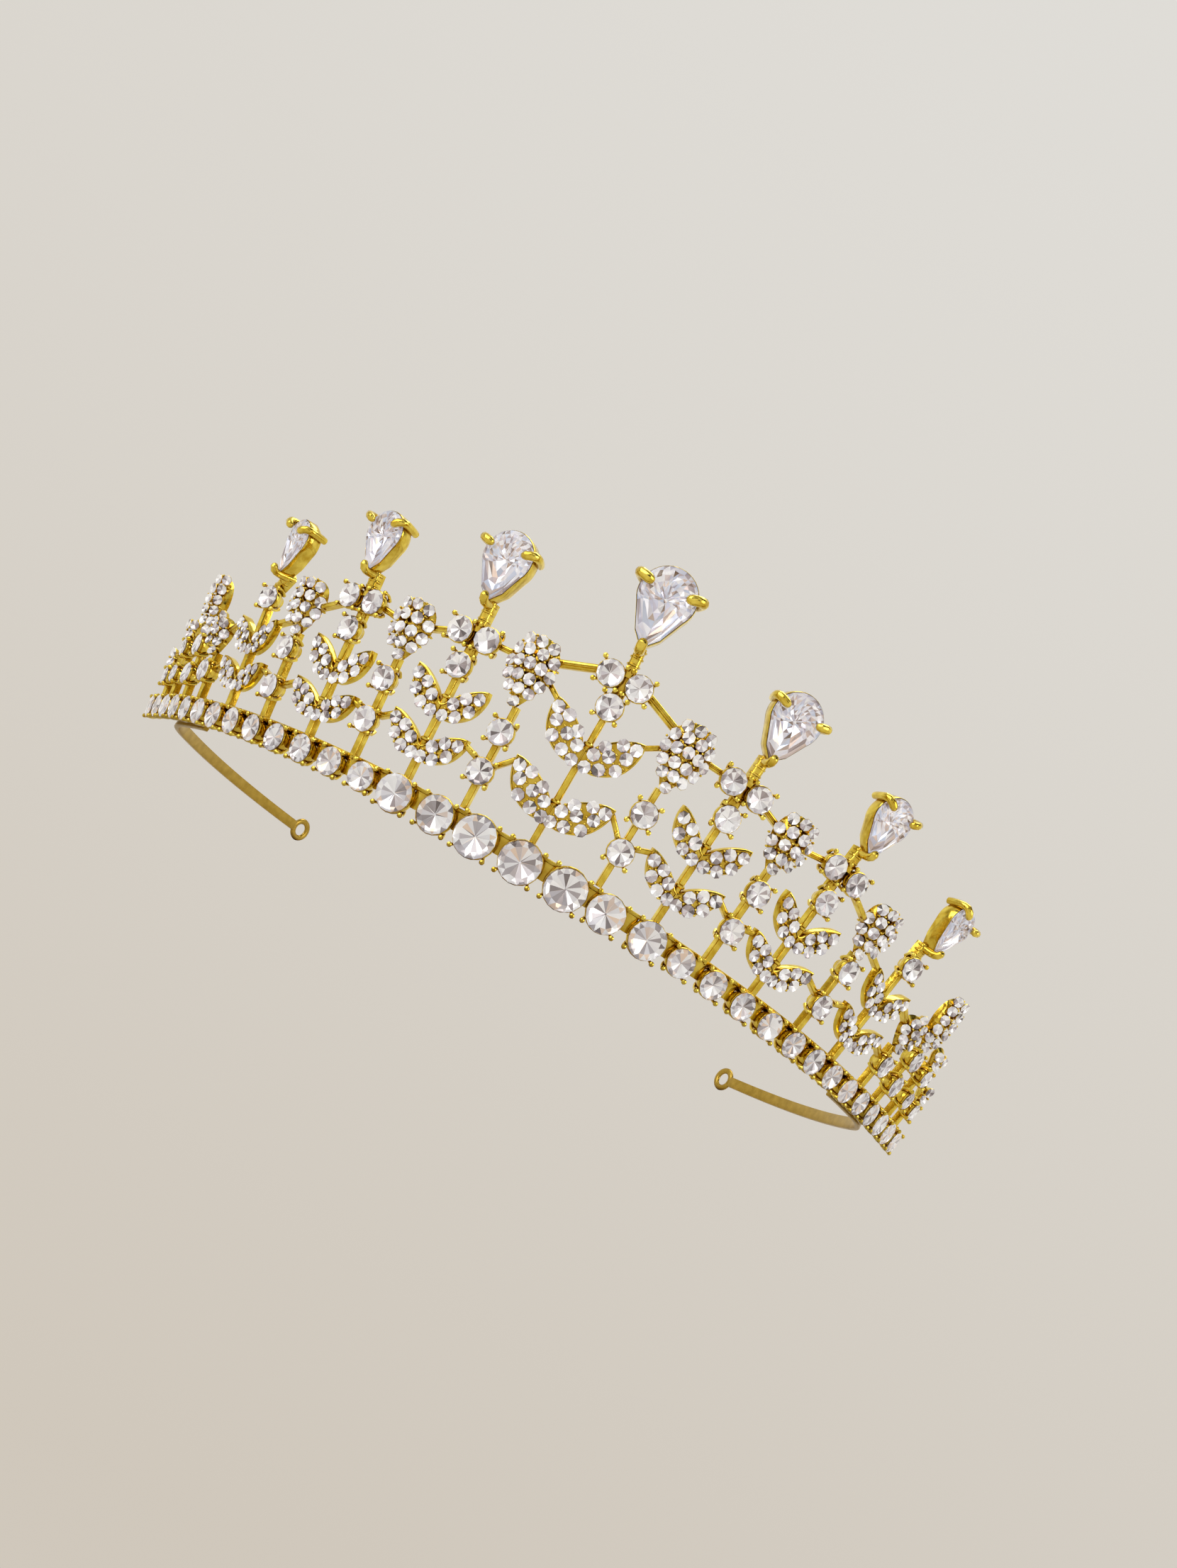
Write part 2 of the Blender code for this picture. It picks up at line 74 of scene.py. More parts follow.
PEAR_STEMS = {
    "centre": (0.0, 8.3, 12.0, 33.3, 0.0, 15.0),
    "second": (20.5, 7.6, 10.6, 29.7, 0.0, 16.0),
    "third": (39.8, 6.8, 9.4, 28.0, 0.0, 28.0),
    "fourth": (62.2, 6.2, 9.2, 24.6, 12.0, 30.0),
}
TREFOILS = {"centre": (28.45, 24.3, 2.25), "second": (24.7, 20.0, 2.3), "third": (23.75, 19.0, 2.5)}
SINGLE_HIGH = 20.6
SINGLE_TURN = math.radians(15.0)
BENT_IN = 3.6
BENT_LEAN = -14.0
CENTRE_PEAR_LIE = (-0.3, 2.4)
CHATON = 1.95
PEAR_GIRDLE = 1.0
COLLET_DEPTHS = {"centre": 3.8, "second": 3.6, "third": 2.8, "fourth": 2.8}
PEAR_LIP = 0.14
LEAVES = {
    "centre": ((7.0, 9.6, 32.5, 2.35), (16.0, 9.4, 41.5, 2.4)),
    "second": ((6.2, 7.9, 35.0, 1.8), (12.8, 8.1, 42.0, 1.85)),
    "third": ((5.4, 7.8, 33.0, 1.75), (11.5, 8.1, 42.5, 1.8)),
    "fourth": ((5.6, 7.8, 32.0, 1.75), (11.9, 7.9, 42.5, 1.8)),
}
LEAF_LOWER_EDGE = ((0.0, -0.5), (0.12, -0.96), (0.33, -1.25), (0.55, -1.28), (0.74, -0.98), (0.9, -0.5), (1.0, 0.05))
LEAF_UPPER_EDGE = ((1.0, 0.05), (0.87, 0.36), (0.63, 0.6), (0.37, 0.64), (0.18, 0.48))
LOW_LEAF_LIFT = 0.18
NINE_STONES = (
    (0.05, -0.42), (0.24, -0.76), (0.48, -1.02), (0.22, 0.15), (0.43, -0.16), (0.67, -0.49),
    (0.41, 0.45), (0.67, 0.31), (0.84, -0.13),
)
SIX_STONES = ((0.08, -0.43), (0.3, -0.94), (0.57, -0.94), (0.33, 0.11), (0.58, 0.14), (0.81, -0.3))

# Paths of the claws: how far out from the stone's edge, and how high over its girdle.
CLAW_PATH = ((0.05, -3.1), (0.5, -1.7), (0.8, -0.6), (0.86, 0.1), (0.66, 0.72), (0.1, 1.05), (-0.7, 1.1), (-1.6, 0.98))
LOW_CLAW_PATH = ((0.2, -3.1), (0.45, -1.7), (0.55, -0.5), (0.5, 0.2), (0.25, 0.75), (-0.2, 1.0), (-0.6, 1.02), (-1.1, 0.9))
CLAW_SIZES = {"centre": 1.0, "second": 0.86, "third": 0.8, "fourth": 0.8}
CLAW_WIDE = 1.55

# Bud uprights: place, heights of the round stones, foot of the bud, its half width and height.
BUD_STEMS = {
    "first_bud": (10.9, (8.15, 14.2), 17.7, 3.6, 11.4),
    "second_bud": (30.2, (7.65, 14.0), 17.0, 3.3, 9.8),
    "third_bud": (51.1, (6.95, 13.4), 15.7, 3.1, 9.6),
    "end_sprig": (74.4, (7.0,), 9.9, 2.6, 7.0),
    "end_bud": (82.6, (6.2, 11.5), 13.2, 2.7, 11.2),
    "end_stem": (91.3, (6.3, 11.2), 13.0, 1.7, 4.4),
    "last_stem": (97.9, (6.0,), 7.9, 1.4, 3.4),
}
SMALL_CHATON = 1.7
# Rows of stones in each bud: how many, how high and how wide, as shares of its height and half width.
BUD_SHIFT = {"first_bud": 0.4, "second_bud": -0.55, "third_bud": -0.5, "end_bud": -0.6}
BUD_TURN = {
    "second_bud": 8.0, "third_bud": 18.0, "end_sprig": 24.0, "end_bud": 30.0, "end_stem": 26.0, "last_stem": 22.0,
}
BUD_WIDE = {"end_bud": 0.74, "end_stem": 0.8}
BUD_ARCH = 0.8
BUD_CROWN = 0.6
BUD_ROWS = {
    "first_bud": ((1, 0.1, 0), (3, 0.262, 0.45), (4, 0.415, 0.7), (5, 0.59, 0.87), (4, 0.752, 0.78), (3, 0.885, 0.53)),
    "second_bud": ((1, 0.1, 0), (3, 0.28, 0.52), (4, 0.48, 0.79), (4, 0.69, 0.82), (3, 0.88, 0.56)),
    "third_bud": ((1, 0.08, 0), (3, 0.26, 0.54), (4, 0.46, 0.8), (4, 0.66, 0.84), (3, 0.86, 0.56)),
    "end_sprig": ((1, 0.1, 0), (2, 0.34, 0.38), (3, 0.58, 0.68), (2, 0.8, 0.38), (1, 0.96, 0)),
    "end_bud": ((1, 0.1, 0), (2, 0.25, 0.34), (2, 0.42, 0.37), (2, 0.59, 0.39), (2, 0.76, 0.37), (2, 0.93, 0.34)),
    "end_stem": ((1, 0.2, 0), (2, 0.62, 0.5)),
    "last_stem": ((1, 0.25, 0), (1, 0.78, 0)),
}
STEM_HALF = 0.5
LINK_LEVEL = -1.45

# Links from one upright to the next: upright, sideways outwards and height of both ends, and half width.
LINKS = (
    (("centre", 3.9, 28.3), ("first_bud", -2.2, 26.3), 0.6),
    (("centre", 6.4, 21.6), ("first_bud", -2.4, 23.4), 0.4),
    (("centre", 7.6, 11.8), ("first_bud", -1.2, 9.6), 0.4),
    (("first_bud", 3.0, 24.8), ("second", -3.6, 24.8), 0.45),
    (("first_bud", 1.2, 9.4), ("second", -5.8, 10.4), 0.4),
    (("second", 3.6, 24.3), ("second_bud", -2.8, 23.2), 0.45),
    (("second", 5.8, 10.3), ("second_bud", -1.2, 8.8), 0.4),
    (("second_bud", 1.9, 22.7), ("third", -3.8, 23.6), 0.5),
    (("second_bud", 1.2, 8.6), ("third", -6.0, 9.2), 0.4),
    (("third", 3.6, 22.9), ("third_bud", -2.6, 20.8), 0.4),
    (("third", 6.0, 9.2), ("third_bud", -1.2, 7.8), 0.4),
    (("third_bud", 1.0, 18.6), ("fourth", -5.2, 16.8), 0.4),
    (("third_bud", 1.2, 8.0), ("fourth", -6.0, 9.3), 0.4),
    (("fourth", 6.0, 9.3), ("end_sprig", -1.2, 7.6), 0.4),
    (("fourth", 5.4, 16.6), ("end_sprig", -1.6, 14.4), 0.4),
    (("end_sprig", 1.8, 14.4), ("end_bud", -1.6, 17.0), 0.45),
    (("end_sprig", 1.2, 7.2), ("end_bud", -1.2, 6.6), 0.4),
    (("end_bud", 1.2, 11.2), ("end_stem", -1.2, 11.2), 0.4),
    (("end_stem", 1.2, 6.4), ("last_stem", -1.2, 6.2), 0.4),
)

BAND_START, BAND_LEAVE = 72.0, 86.0
BAND_HEIGHT, BAND_THICK, BAND_Z = 2.2, 0.9, -0.5
BAND_BENDS = ((22.0, 36.0), (85.0, 33.0))
BAND_GAP = 0.34
LOOP_RADIUS, LOOP_HOLE = 2.58, 1.3


# Where things are on the wall.

def heading(s):
    return BEND * s - EASE * s**3 / 3.0


def wall_path():
    points = [(0.0, 0.0)]
    for i in range(int(PATH_END / PATH_STEP)):
        middle = heading((i + 0.5) * PATH_STEP)
        x, y = points[-1]
        points.append((x + math.cos(middle) * PATH_STEP, y + math.sin(middle) * PATH_STEP))
    return points


PATH = wall_path()


def base_point(s):
    side = -1.0 if s < 0 else 1.0
    place = min(abs(s) / PATH_STEP, len(PATH) - 1.001)
    i = int(place)
    part = place - i
    x = PATH[i][0] * (1 - part) + PATH[i + 1][0] * part
    y = PATH[i][1] * (1 - part) + PATH[i + 1][1] * part
    return side * x, y


def wall(s):
    """Carries the flat drawing of an upright at s, in millimetres, to the tiara, in metres."""
    x, y = base_point(s)
    turn = heading(abs(s)) * (-1.0 if s < 0 else 1.0)
    along = Vector((math.cos(turn), math.sin(turn), 0.0))
    out = Vector((math.sin(turn), -math.cos(turn), 0.0))
    up = out * math.sin(LEAN) + Vector((0, 0, 1)) * math.cos(LEAN)
    face = out * math.cos(LEAN) - Vector((0, 0, 1)) * math.sin(LEAN)
    start = Vector((x, y, 0.0)) + ROW_SHIFT
    rows = [(along[k], up[k], face[k], start[k]) for k in range(3)]
    return Matrix.Scale(0.001, 4) @ Matrix(rows + [(0, 0, 0, 1)])


def on_wall(s, u, h, n):
    """A point of the wall, in millimetres."""
    return (wall(s) @ Vector((u, h, n))) * 1000.0


def spot(u, h, n=0.0, turn=0.0, tilt_u=0.0, tilt_h=0.0, size=1.0):
    """A place in the flat drawing, with a turn about its own axis, a tilt and a size."""
    tilt = Matrix.Rotation(tilt_u, 4, "Y") @ Matrix.Rotation(-tilt_h, 4, "X")
    return Matrix.Translation((u, h, n)) @ tilt @ Matrix.Rotation(turn, 4, "Z") @ Matrix.Scale(size, 4)


MIRROR = Matrix.Scale(-1.0, 4, (1, 0, 0))


def row_place(i):
    s = 0.0
    for k in range(abs(i)):
        s += STEPS[k] if k < len(STEPS) else PITCH
    radius = STONE_BIG if abs(i) < 2 else STONE_MIDDLE if abs(i) < 4 else STONE_SMALL
    return math.copysign(s, i), radius


def stem_foot(s):
    for i in range(ROW_SIDE + 1):
        where, radius = row_place(i)
        if abs(s - where) < radius:
            return radius - 0.2
    return 1.75


def sides_of(key):
    return (1,) if key == "centre" else (-1, 1)


def label(key, side):
    return key if key == "centre" else key + ("_right" if side > 0 else "_left")


# Bench work: starting a form, shaping it, copying it to its place.

def clear_selection():
    bpy.ops.object.select_all(action="DESELECT")


def open_up(obj):
    clear_selection()
    obj.select_set(True)
    bpy.context.view_layer.objects.active = obj
    bpy.ops.object.mode_set(mode="EDIT")
    bpy.ops.mesh.select_mode(type="FACE")
    bpy.ops.mesh.select_all(action="SELECT")


def close_up(smooth=38.0):
    bpy.ops.mesh.select_all(action="SELECT")
    bpy.ops.mesh.normals_make_consistent(inside=False)
    bpy.ops.object.mode_set(mode="OBJECT")
    if smooth:
        bpy.ops.object.shade_smooth_by_angle(angle=math.radians(smooth))


def raise_face(rise, size=1.0, about=(0, 0, 0), turn=0.0):
    """Extrudes the chosen face, then sizes and turns its new end."""
    bpy.ops.mesh.extrude_region_move(TRANSFORM_OT_translate={"value": (0, 0, rise)})
    if size != 1.0:
        bpy.ops.transform.resize(value=(size, size, 1.0), center_override=about)
    if turn:
        bpy.ops.transform.rotate(value=turn, orient_axis="Z", center_override=about)


def ringed(name, sides, profile, smooth=38.0, twist_at=()):
    """A round form drawn up ring by ring from a disc; profile holds each ring's radius and height."""
    clear_selection()
    radius, height = profile[0]
    bpy.ops.mesh.primitive_circle_add(vertices=sides, radius=radius, fill_type="NGON", location=(0, 0, height))
    obj = bpy.context.object
    obj.name = name
    bpy.ops.object.transform_apply(location=True, rotation=False, scale=False)
    open_up(obj)
    for k, (new_radius, new_height) in enumerate(profile[1:]):
        turn = math.pi / sides if k in twist_at else 0.0
        raise_face(new_height - height, new_radius / radius, (0, 0, new_height), turn)
        radius, height = new_radius, new_height
        if turn:
            facet_last_ring(obj, height)
    close_up(smooth)
    return obj


def facet_last_ring(obj, height):
    """Cuts the twisted faces under the topmost ring into triangles."""
    work = bmesh.from_edit_mesh(obj.data)
    top = [face for face in work.faces if face.select]
    for face in work.faces:
        levels = [vert.co.z for vert in face.verts]
        face.select_set(len(levels) == 4 and max(levels) > height - 1e-4 > min(levels))
    bmesh.update_edit_mesh(obj.data)
    bpy.ops.mesh.quads_convert_to_tris(quad_method="SHORTEST_DIAGONAL")
    bpy.ops.mesh.select_all(action="DESELECT")
    work = bmesh.from_edit_mesh(obj.data)
    for face in work.faces:
        face.select_set(min(vert.co.z for vert in face.verts) > height - 1e-4)
    bmesh.update_edit_mesh(obj.data)


def cut_out(name, outline, back, front):
    """A plate cut to an outline: a disc pushed out to it, then raised. It stays open for shaping."""
    clear_selection()
    bpy.ops.mesh.primitive_circle_add(vertices=len(outline), radius=1.0, fill_type="NGON", location=(0, 0, 0))
    obj = bpy.context.object
    obj.name = name
    for vert, (u, h) in zip(obj.data.vertices, outline):
        vert.co = (u, h, back)
    open_up(obj)
    raise_face(front - back)
    return obj


def bar(name, width, length, back, front, round_off=0.3, groove=0.0):
    """A bar standing on the origin, its front edges rounded and, if asked, a groove along its face."""
    clear_selection()
    bpy.ops.mesh.primitive_cube_add(size=1.0, location=(0, length / 2.0, (back + front) / 2.0))
    obj = bpy.context.object
    obj.name = name
    obj.scale = (width, length, front - back)
    bpy.ops.object.transform_apply(location=True, rotation=False, scale=True)
    open_up(obj)
    bpy.ops.mesh.select_mode(type="EDGE")
    bpy.ops.mesh.select_all(action="DESELECT")
    work = bmesh.from_edit_mesh(obj.data)
    for edge in work.edges:
        a, b = edge.verts
        along = abs(a.co.y - b.co.y) > 0.5 * length
        edge.select_set(along and min(a.co.z, b.co.z) > (back + front) / 2.0)
    bmesh.update_edit_mesh(obj.data)
    bpy.ops.mesh.bevel(offset=round_off, segments=3, profile=0.5)
    if groove:
        bpy.ops.mesh.select_mode(type="FACE")
        pick(obj, lambda centre, normal: normal.z > 0.99)
        bpy.ops.mesh.inset(thickness=width * 0.16, depth=-groove)
    close_up()
    return obj


def bend_along(obj, path):
    """Lays an upright form, one high, along a path of sideways and upward places."""
    runs = [math.dist(a, b) for a, b in zip(path, path[1:])]
    for vert in obj.data.vertices:
        left = max(0.0, min(1.0, vert.co.z)) * sum(runs)
        k = 0
        while k < len(runs) - 1 and left > runs[k]:
            left -= runs[k]
            k += 1
        (x0, z0), (x1, z1) = path[k], path[k + 1]
        share = left / runs[k]
        before = path[max(0, k - 1)]
        after = path[min(len(path) - 1, k + 2)]
        first = Vector((x1 - before[0], z1 - before[1])).normalized()
        second = Vector((after[0] - x0, after[1] - z0)).normalized()
        ahead = (first * (1 - share) + second * share).normalized()
        x = x0 + (x1 - x0) * share + vert.co.x * ahead.y
        z = z0 + (z1 - z0) * share - vert.co.x * ahead.x
        vert.co = (x, vert.co.y, z)
    return obj


def pick(obj, test):
    """Chooses the faces whose middle and normal pass a test."""
    bpy.ops.mesh.select_mode(type="FACE")
    bpy.ops.mesh.select_all(action="DESELECT")
    work = bmesh.from_edit_mesh(obj.data)
    work.normal_update()
    for face in work.faces:
        face.select_set(bool(test(face.calc_center_median(), face.normal)))
    bmesh.update_edit_mesh(obj.data)


def copy_to(pattern, matrix, name=None):
    """A copy with its own mesh, carried to its place."""
    mesh = pattern.data.copy()
    mesh.transform(matrix)
    if matrix.determinant() < 0:
        mesh.flip_normals()
    obj = bpy.data.objects.new(name or pattern.name, mesh)
    bpy.context.scene.collection.objects.link(obj)
    return obj


def carry(obj, matrix):
    obj.data.transform(matrix)
    if matrix.determinant() < 0:
        obj.data.flip_normals()
    return obj


def solder(name, parts):
    """Joins parts into one piece."""
    clear_selection()
    for part in parts:
        part.select_set(True)
    bpy.context.view_layer.objects.active = parts[0]
    bpy.ops.object.join()
    obj = bpy.context.object
    obj.name = name
    return obj


def put_away(*patterns):
    for obj in patterns:
        bpy.data.objects.remove(obj, do_unlink=True)


# Outlines.

def curve_through(points, per_step=3):
    """Points along a smooth curve through the given ones, without the last."""
    ends = [points[0]] + list(points) + [points[-1]]
    found = []
    for k in range(1, len(ends) - 2):
        a, b, c, d = (Vector(p) for p in ends[k - 1:k + 3])
        for i in range(per_step):
            t = i / per_step
            p = 0.5 * (2 * b + (c - a) * t + (2 * a - 5 * b + 4 * c - d) * t**2 + (3 * b - a - 3 * c + d) * t**3)
            found.append((p.x, p.y))
    return found


def turned(points, turn):
    c, s = math.cos(turn), math.sin(turn)
    return [(c * u - s * h, s * u + c * h) for u, h in points]


def leaf_outline(foot, length, rise, half, lift):
    def place(points):
        shares = [(t * length, (w + lift) * half) for t, w in points]
        return [(u, foot + h) for u, h in turned(shares, math.radians(rise))]

    lower = place(LEAF_LOWER_EDGE)
    upper = place(LEAF_UPPER_EDGE)
    low_root = (-0.1, lower[0][1] - 0.1)
    high_root = (-0.1, upper[-1][1] - 0.35)
    return curve_through([low_root] + lower, 3) + curve_through(upper + [high_root], 3) + [high_root]


def leaf_stones(foot, length, rise, half, lift, shares):
    spots = [(t * length, (w + lift) * half) for t, w in shares]
    return [(u, foot + h) for u, h in turned(spots, math.radians(rise))]


def bud_outline(foot, half, height):
    right = [(0.5, 0.0), (0.62 * half, 0.25), (half, 0.56), (0.86 * half, 0.85), (0.42 * half, 0.985), (0.0, 1.02)]
    right = [(u, foot + height * share) for u, share in right]
    left = [(-u, h) for u, h in reversed(right)]
    return curve_through(right, 3) + curve_through(left, 3) + [left[-1]]


def bud_stones(key, foot, half, height):
    """Stones of a bud in arched rows."""
    found = []
    for count, high, wide in BUD_ROWS[key]:
        for k in range(count):
            share = 0.0 if count == 1 else -1.0 + 2.0 * k / (count - 1)
            across = share * (1.13 - 0.13 * share * share) * wide * half
            found.append((across, foot + height * high - BUD_ARCH * (wide * share) ** 2))
    return found


def dome(u, h, foot, half, height):
    """How far a bud stands out at a point, and its slopes."""
    crown = BUD_CROWN * half
    across = u / (half * 1.08)
    along = (h - foot - height * 0.58) / (height * 0.6)
    rise = crown * max(-0.1, 1.0 - across**2 - along**2)
    return rise, -1.4 * crown * across / (half * 1.08), -1.3 * crown * along / (height * 0.6)


def pear_outline(width, height, count):
    """Round at the top and pointed at the foot, which is at the origin."""
    radius = width / 2.0
    centre = height - radius
    touch = math.asin(radius / centre)
    sweep = math.pi + 2.0 * touch
    points = [(0.0, 0.0), (0.45 * radius, 0.36 * (centre - radius * math.sin(touch)))]
    for i in range(count - 3):
        angle = -touch + sweep * i / (count - 4)
        points.append((radius * math.cos(angle), centre + radius * math.sin(angle)))
    points.append((-points[1][0], points[1][1]))
    return points


# Finishes.

def new_finish(name):
    material = bpy.data.materials.new(name)
    material.use_nodes = True
    tree = material.node_tree
    return material, tree, tree.nodes["Principled BSDF"]


def noise(tree, scale, detail=3.0, rough=0.55):
    where = tree.nodes.new("ShaderNodeTexCoord")
    cloud = tree.nodes.new("ShaderNodeTexNoise")
    cloud.inputs["Scale"].default_value = scale
    cloud.inputs["Detail"].default_value = detail
    cloud.inputs["Roughness"].default_value = rough
    tree.links.new(where.outputs["Object"], cloud.inputs["Vector"])
    return cloud.outputs["Fac"]


def blend_colours(tree, value, stops):
    ramp = tree.nodes.new("ShaderNodeValToRGB")
    ramp.color_ramp.elements[0].position = stops[0][0]
    ramp.color_ramp.elements[0].color = (*stops[0][1], 1.0)
    ramp.color_ramp.elements[1].position = stops[-1][0]
    ramp.color_ramp.elements[1].color = (*stops[-1][1], 1.0)
    for place, colour in stops[1:-1]:
        stop = ramp.color_ramp.elements.new(place)
        stop.color = (*colour, 1.0)
    tree.links.new(value, ramp.inputs["Fac"])
    return ramp.outputs["Color"]


def ranged(tree, value, low, high, start=0.3, end=0.7):
    span = tree.nodes.new("ShaderNodeMapRange")
    span.inputs["From Min"].default_value = start
    span.inputs["From Max"].default_value = end
    span.inputs["To Min"].default_value = low
    span.inputs["To Max"].default_value = high
    tree.links.new(value, span.inputs["Value"])
    return span.outputs["Result"]


def bumped(tree, shader, value, strength, distance):
    bump = tree.nodes.new("ShaderNodeBump")
    bump.inputs["Strength"].default_value = strength
    bump.inputs["Distance"].default_value = distance
    tree.links.new(value, bump.inputs["Height"])
    tree.links.new(bump.outputs["Normal"], shader.inputs["Normal"])


def plated_gold(name, deep, bright, rough, grain, waves=0.5):
    """Bright yellow plating over a casting, with painted shade in its hollows, softly waved, its shine patchy."""
    material, tree, shader = new_finish(name)
    colour = blend_colours(tree, noise(tree, 700.0), ((0.3, deep), (0.7, bright)))
    # Painted shade: ambient occlusion darkens the base colour in hollows, creases and gaps between parts.
    painted_hollow_shade = tree.nodes.new("ShaderNodeAmbientOcclusion")
    painted_hollow_shade.samples = 4
    painted_hollow_shade.inputs["Distance"].default_value = 0.0012
    shade = tree.nodes.new("ShaderNodeMix")
    shade.data_type = "RGBA"
    shade.inputs[6].default_value = (0.62 * deep[0], 0.46 * deep[1], 0.3 * deep[2], 1.0)
    tree.links.new(painted_hollow_shade.outputs["AO"], shade.inputs[0])
    tree.links.new(colour, shade.inputs[7])
    tree.links.new(shade.outputs[2], shader.inputs["Base Color"])
    shader.inputs["Metallic"].default_value = 1.0
    tree.links.new(ranged(tree, noise(tree, 1100.0, 2.0), *rough), shader.inputs["Roughness"])
    bumped(tree, shader, noise(tree, grain, 2.0, 0.6), waves, 0.00025)
    return material


def clear_crystal(name, tint, cool):
    """Clear glass, see-through, with a breath of tint from place to place."""
    material, tree, shader = new_finish(name)
    colour = blend_colours(tree, noise(tree, 260.0, 1.0), ((0.35, tint), (0.65, cool)))
    tree.links.new(colour, shader.inputs["Base Color"])
    shader.inputs["Transmission Weight"].default_value = 1.0
    shader.inputs["Roughness"].default_value = 0.0
    shader.inputs["IOR"].default_value = 1.55
    return material


def silvered_with_painted_glints(name, stops, painted_glow, shine, rough=0.12):
    """The silver backing of a cut stone, with painted reflections: every facet gets its own value, light or dark,
    standing for the light it would catch, and shines a little in the same colour as painted light.
    """
    material, tree, shader = new_finish(name)
    tone = tree.nodes.new("ShaderNodeAttribute")
    tone.attribute_name = "facet"
    shade = blend_colours(tree, tone.outputs["Fac"], stops)
    tree.links.new(shade, shader.inputs["Base Color"])
    # Painted light: each facet also shines in its own colour, so the stones stay bright whatever the lamps do.
    tree.links.new(shade, shader.inputs["Emission Color"])
    shader.inputs["Emission Strength"].default_value = painted_glow
    shader.inputs["Metallic"].default_value = shine
    shader.inputs["Roughness"].default_value = rough
    bumped(tree, shader, noise(tree, 500.0, 1.0), 0.1, 0.00005)
    return material


# Both golds carry the painted shade in their hollows; the cast gold's colour otherwise varies at random from place to
# place.
CAST_GOLD = plated_gold("cast_gold", (0.56, 0.37, 0.03), (0.88, 0.70, 0.125), (0.09, 0.18), 600.0, 0.22)
# The band's plating is rougher and duller than the front's, and its colour is painted darker as well, to stand for the
# shade the band lies in.
BAND_GOLD_PAINTED_SHADE = plated_gold("band_gold", (0.36, 0.23, 0.033), (0.47, 0.31, 0.055), (0.28, 0.34), 300.0, 0.08)
GLASS = clear_crystal("cut_crystal", (0.99, 0.98, 0.98), (0.97, 0.98, 1.0))
PEAR_GLASS = clear_crystal("pear_crystal", (0.99, 0.97, 0.99), (0.96, 0.97, 1.0))
# Backings of the cut stones: each ramp turns a facet's random value into a painted reflection, from dark through
# tinted flashes and reflected gold to white, and that colour shines a little as painted light.
GLINT_FOIL = silvered_with_painted_glints(
    "silvered_back",
    (
        (0.0, (0.10, 0.08, 0.08)), (0.14, (0.24, 0.20, 0.20)), (0.3, (0.50, 0.43, 0.43)),
        (0.5, (0.72, 0.70, 0.74)), (0.7, (0.92, 0.91, 0.90)), (1.0, (1.0, 1.0, 1.0)),
    ),
    0.2, 0.4,
)
ROW_GLINT_FOIL = silvered_with_painted_glints(
    "silvered_row_back",
    (
        (0.0, (0.14, 0.11, 0.11)), (0.12, (0.33, 0.29, 0.29)), (0.36, (0.57, 0.54, 0.57)),
        (0.42, (0.84, 0.65, 0.50)), (0.5, (0.86, 0.69, 0.55)), (0.55, (0.73, 0.72, 0.77)),
        (0.75, (0.93, 0.93, 0.94)), (1.0, (1.0, 1.0, 1.0)),
    ),
    0.21, 0.36,
)
PEAR_GLINT_FOIL = silvered_with_painted_glints(
    "brilliant_back",
    (
        (0.0, (0.18, 0.11, 0.06)), (0.1, (0.40, 0.30, 0.24)), (0.24, (0.50, 0.45, 0.49)),
        (0.34, (0.80, 0.62, 0.48)), (0.42, (0.70, 0.67, 0.76)), (0.6, (0.72, 0.80, 0.95)),
        (0.72, (0.94, 0.92, 0.96)), (1.0, (1.0, 1.0, 1.0)),
    ),
    0.16, 0.4,
)


# Camera and studio.

def set_camera():
    right = Vector((0.86474, -0.07642, 0.49638))
    down = Vector((0.49854, 0.25017, -0.82998))
    ahead = Vector((-0.06075, 0.96518, 0.25443))
    place = Vector((0.01241, -0.20486, -0.02401))
    data = bpy.data.cameras.new("camera")
    data.sensor_fit = "HORIZONTAL"
    data.sensor_width = 36.0
    data.lens = 35.98
    data.clip_start = 0.005
    data.clip_end = 20.0
    camera = bpy.data.objects.new("camera", data)
    camera.matrix_world = Matrix(
        [(right[k], -down[k], -ahead[k], place[k]) for k in range(3)] + [(0, 0, 0, 1)]
    )
    bpy.context.scene.collection.objects.link(camera)
    bpy.context.scene.camera = camera


def one_sided(name, colours, scale):
    """Pale paper that is seen from its front only."""
    material, tree, shader = new_finish(name)
    colour = blend_colours(tree, noise(tree, scale), ((0.35, colours[0]), (0.65, colours[1])))
    tree.links.new(colour, shader.inputs["Base Color"])
    shader.inputs["Roughness"].default_value = 0.9
    side = tree.nodes.new("ShaderNodeNewGeometry")
    clear = tree.nodes.new("ShaderNodeBsdfTransparent")
    mix = tree.nodes.new("ShaderNodeMixShader")
    tree.links.new(side.outputs["Backfacing"], mix.inputs["Fac"])
    tree.links.new(shader.outputs["BSDF"], mix.inputs[1])
    tree.links.new(clear.outputs["BSDF"], mix.inputs[2])
    tree.links.new(mix.outputs["Shader"], tree.nodes["Material Output"].inputs["Surface"])
    return material


def set_stage():
    paper = one_sided("pale_paper", ((0.60, 0.575, 0.53), (0.65, 0.625, 0.58)), 8.0)
    clear_selection()
    bpy.ops.mesh.primitive_plane_add(size=9.0, location=(0, 0, 0))
    floor = bpy.context.object
    floor.name = "floor"
    floor.data.materials.append(paper)


def add_light(name, place, size, power, colour):
    data = bpy.data.lights.new(name, "AREA")
    data.shape = "RECTANGLE"
    data.size, data.size_y = size
    data.energy = power
    data.color = colour
    light = bpy.data.objects.new(name, data)
    place = Vector(place)
    light.location = place
    light.visible_camera = False
    light.rotation_euler = (Vector((0, -0.02, 0.02)) - place).to_track_quat("-Z", "Y").to_euler()
    bpy.context.scene.collection.objects.link(light)


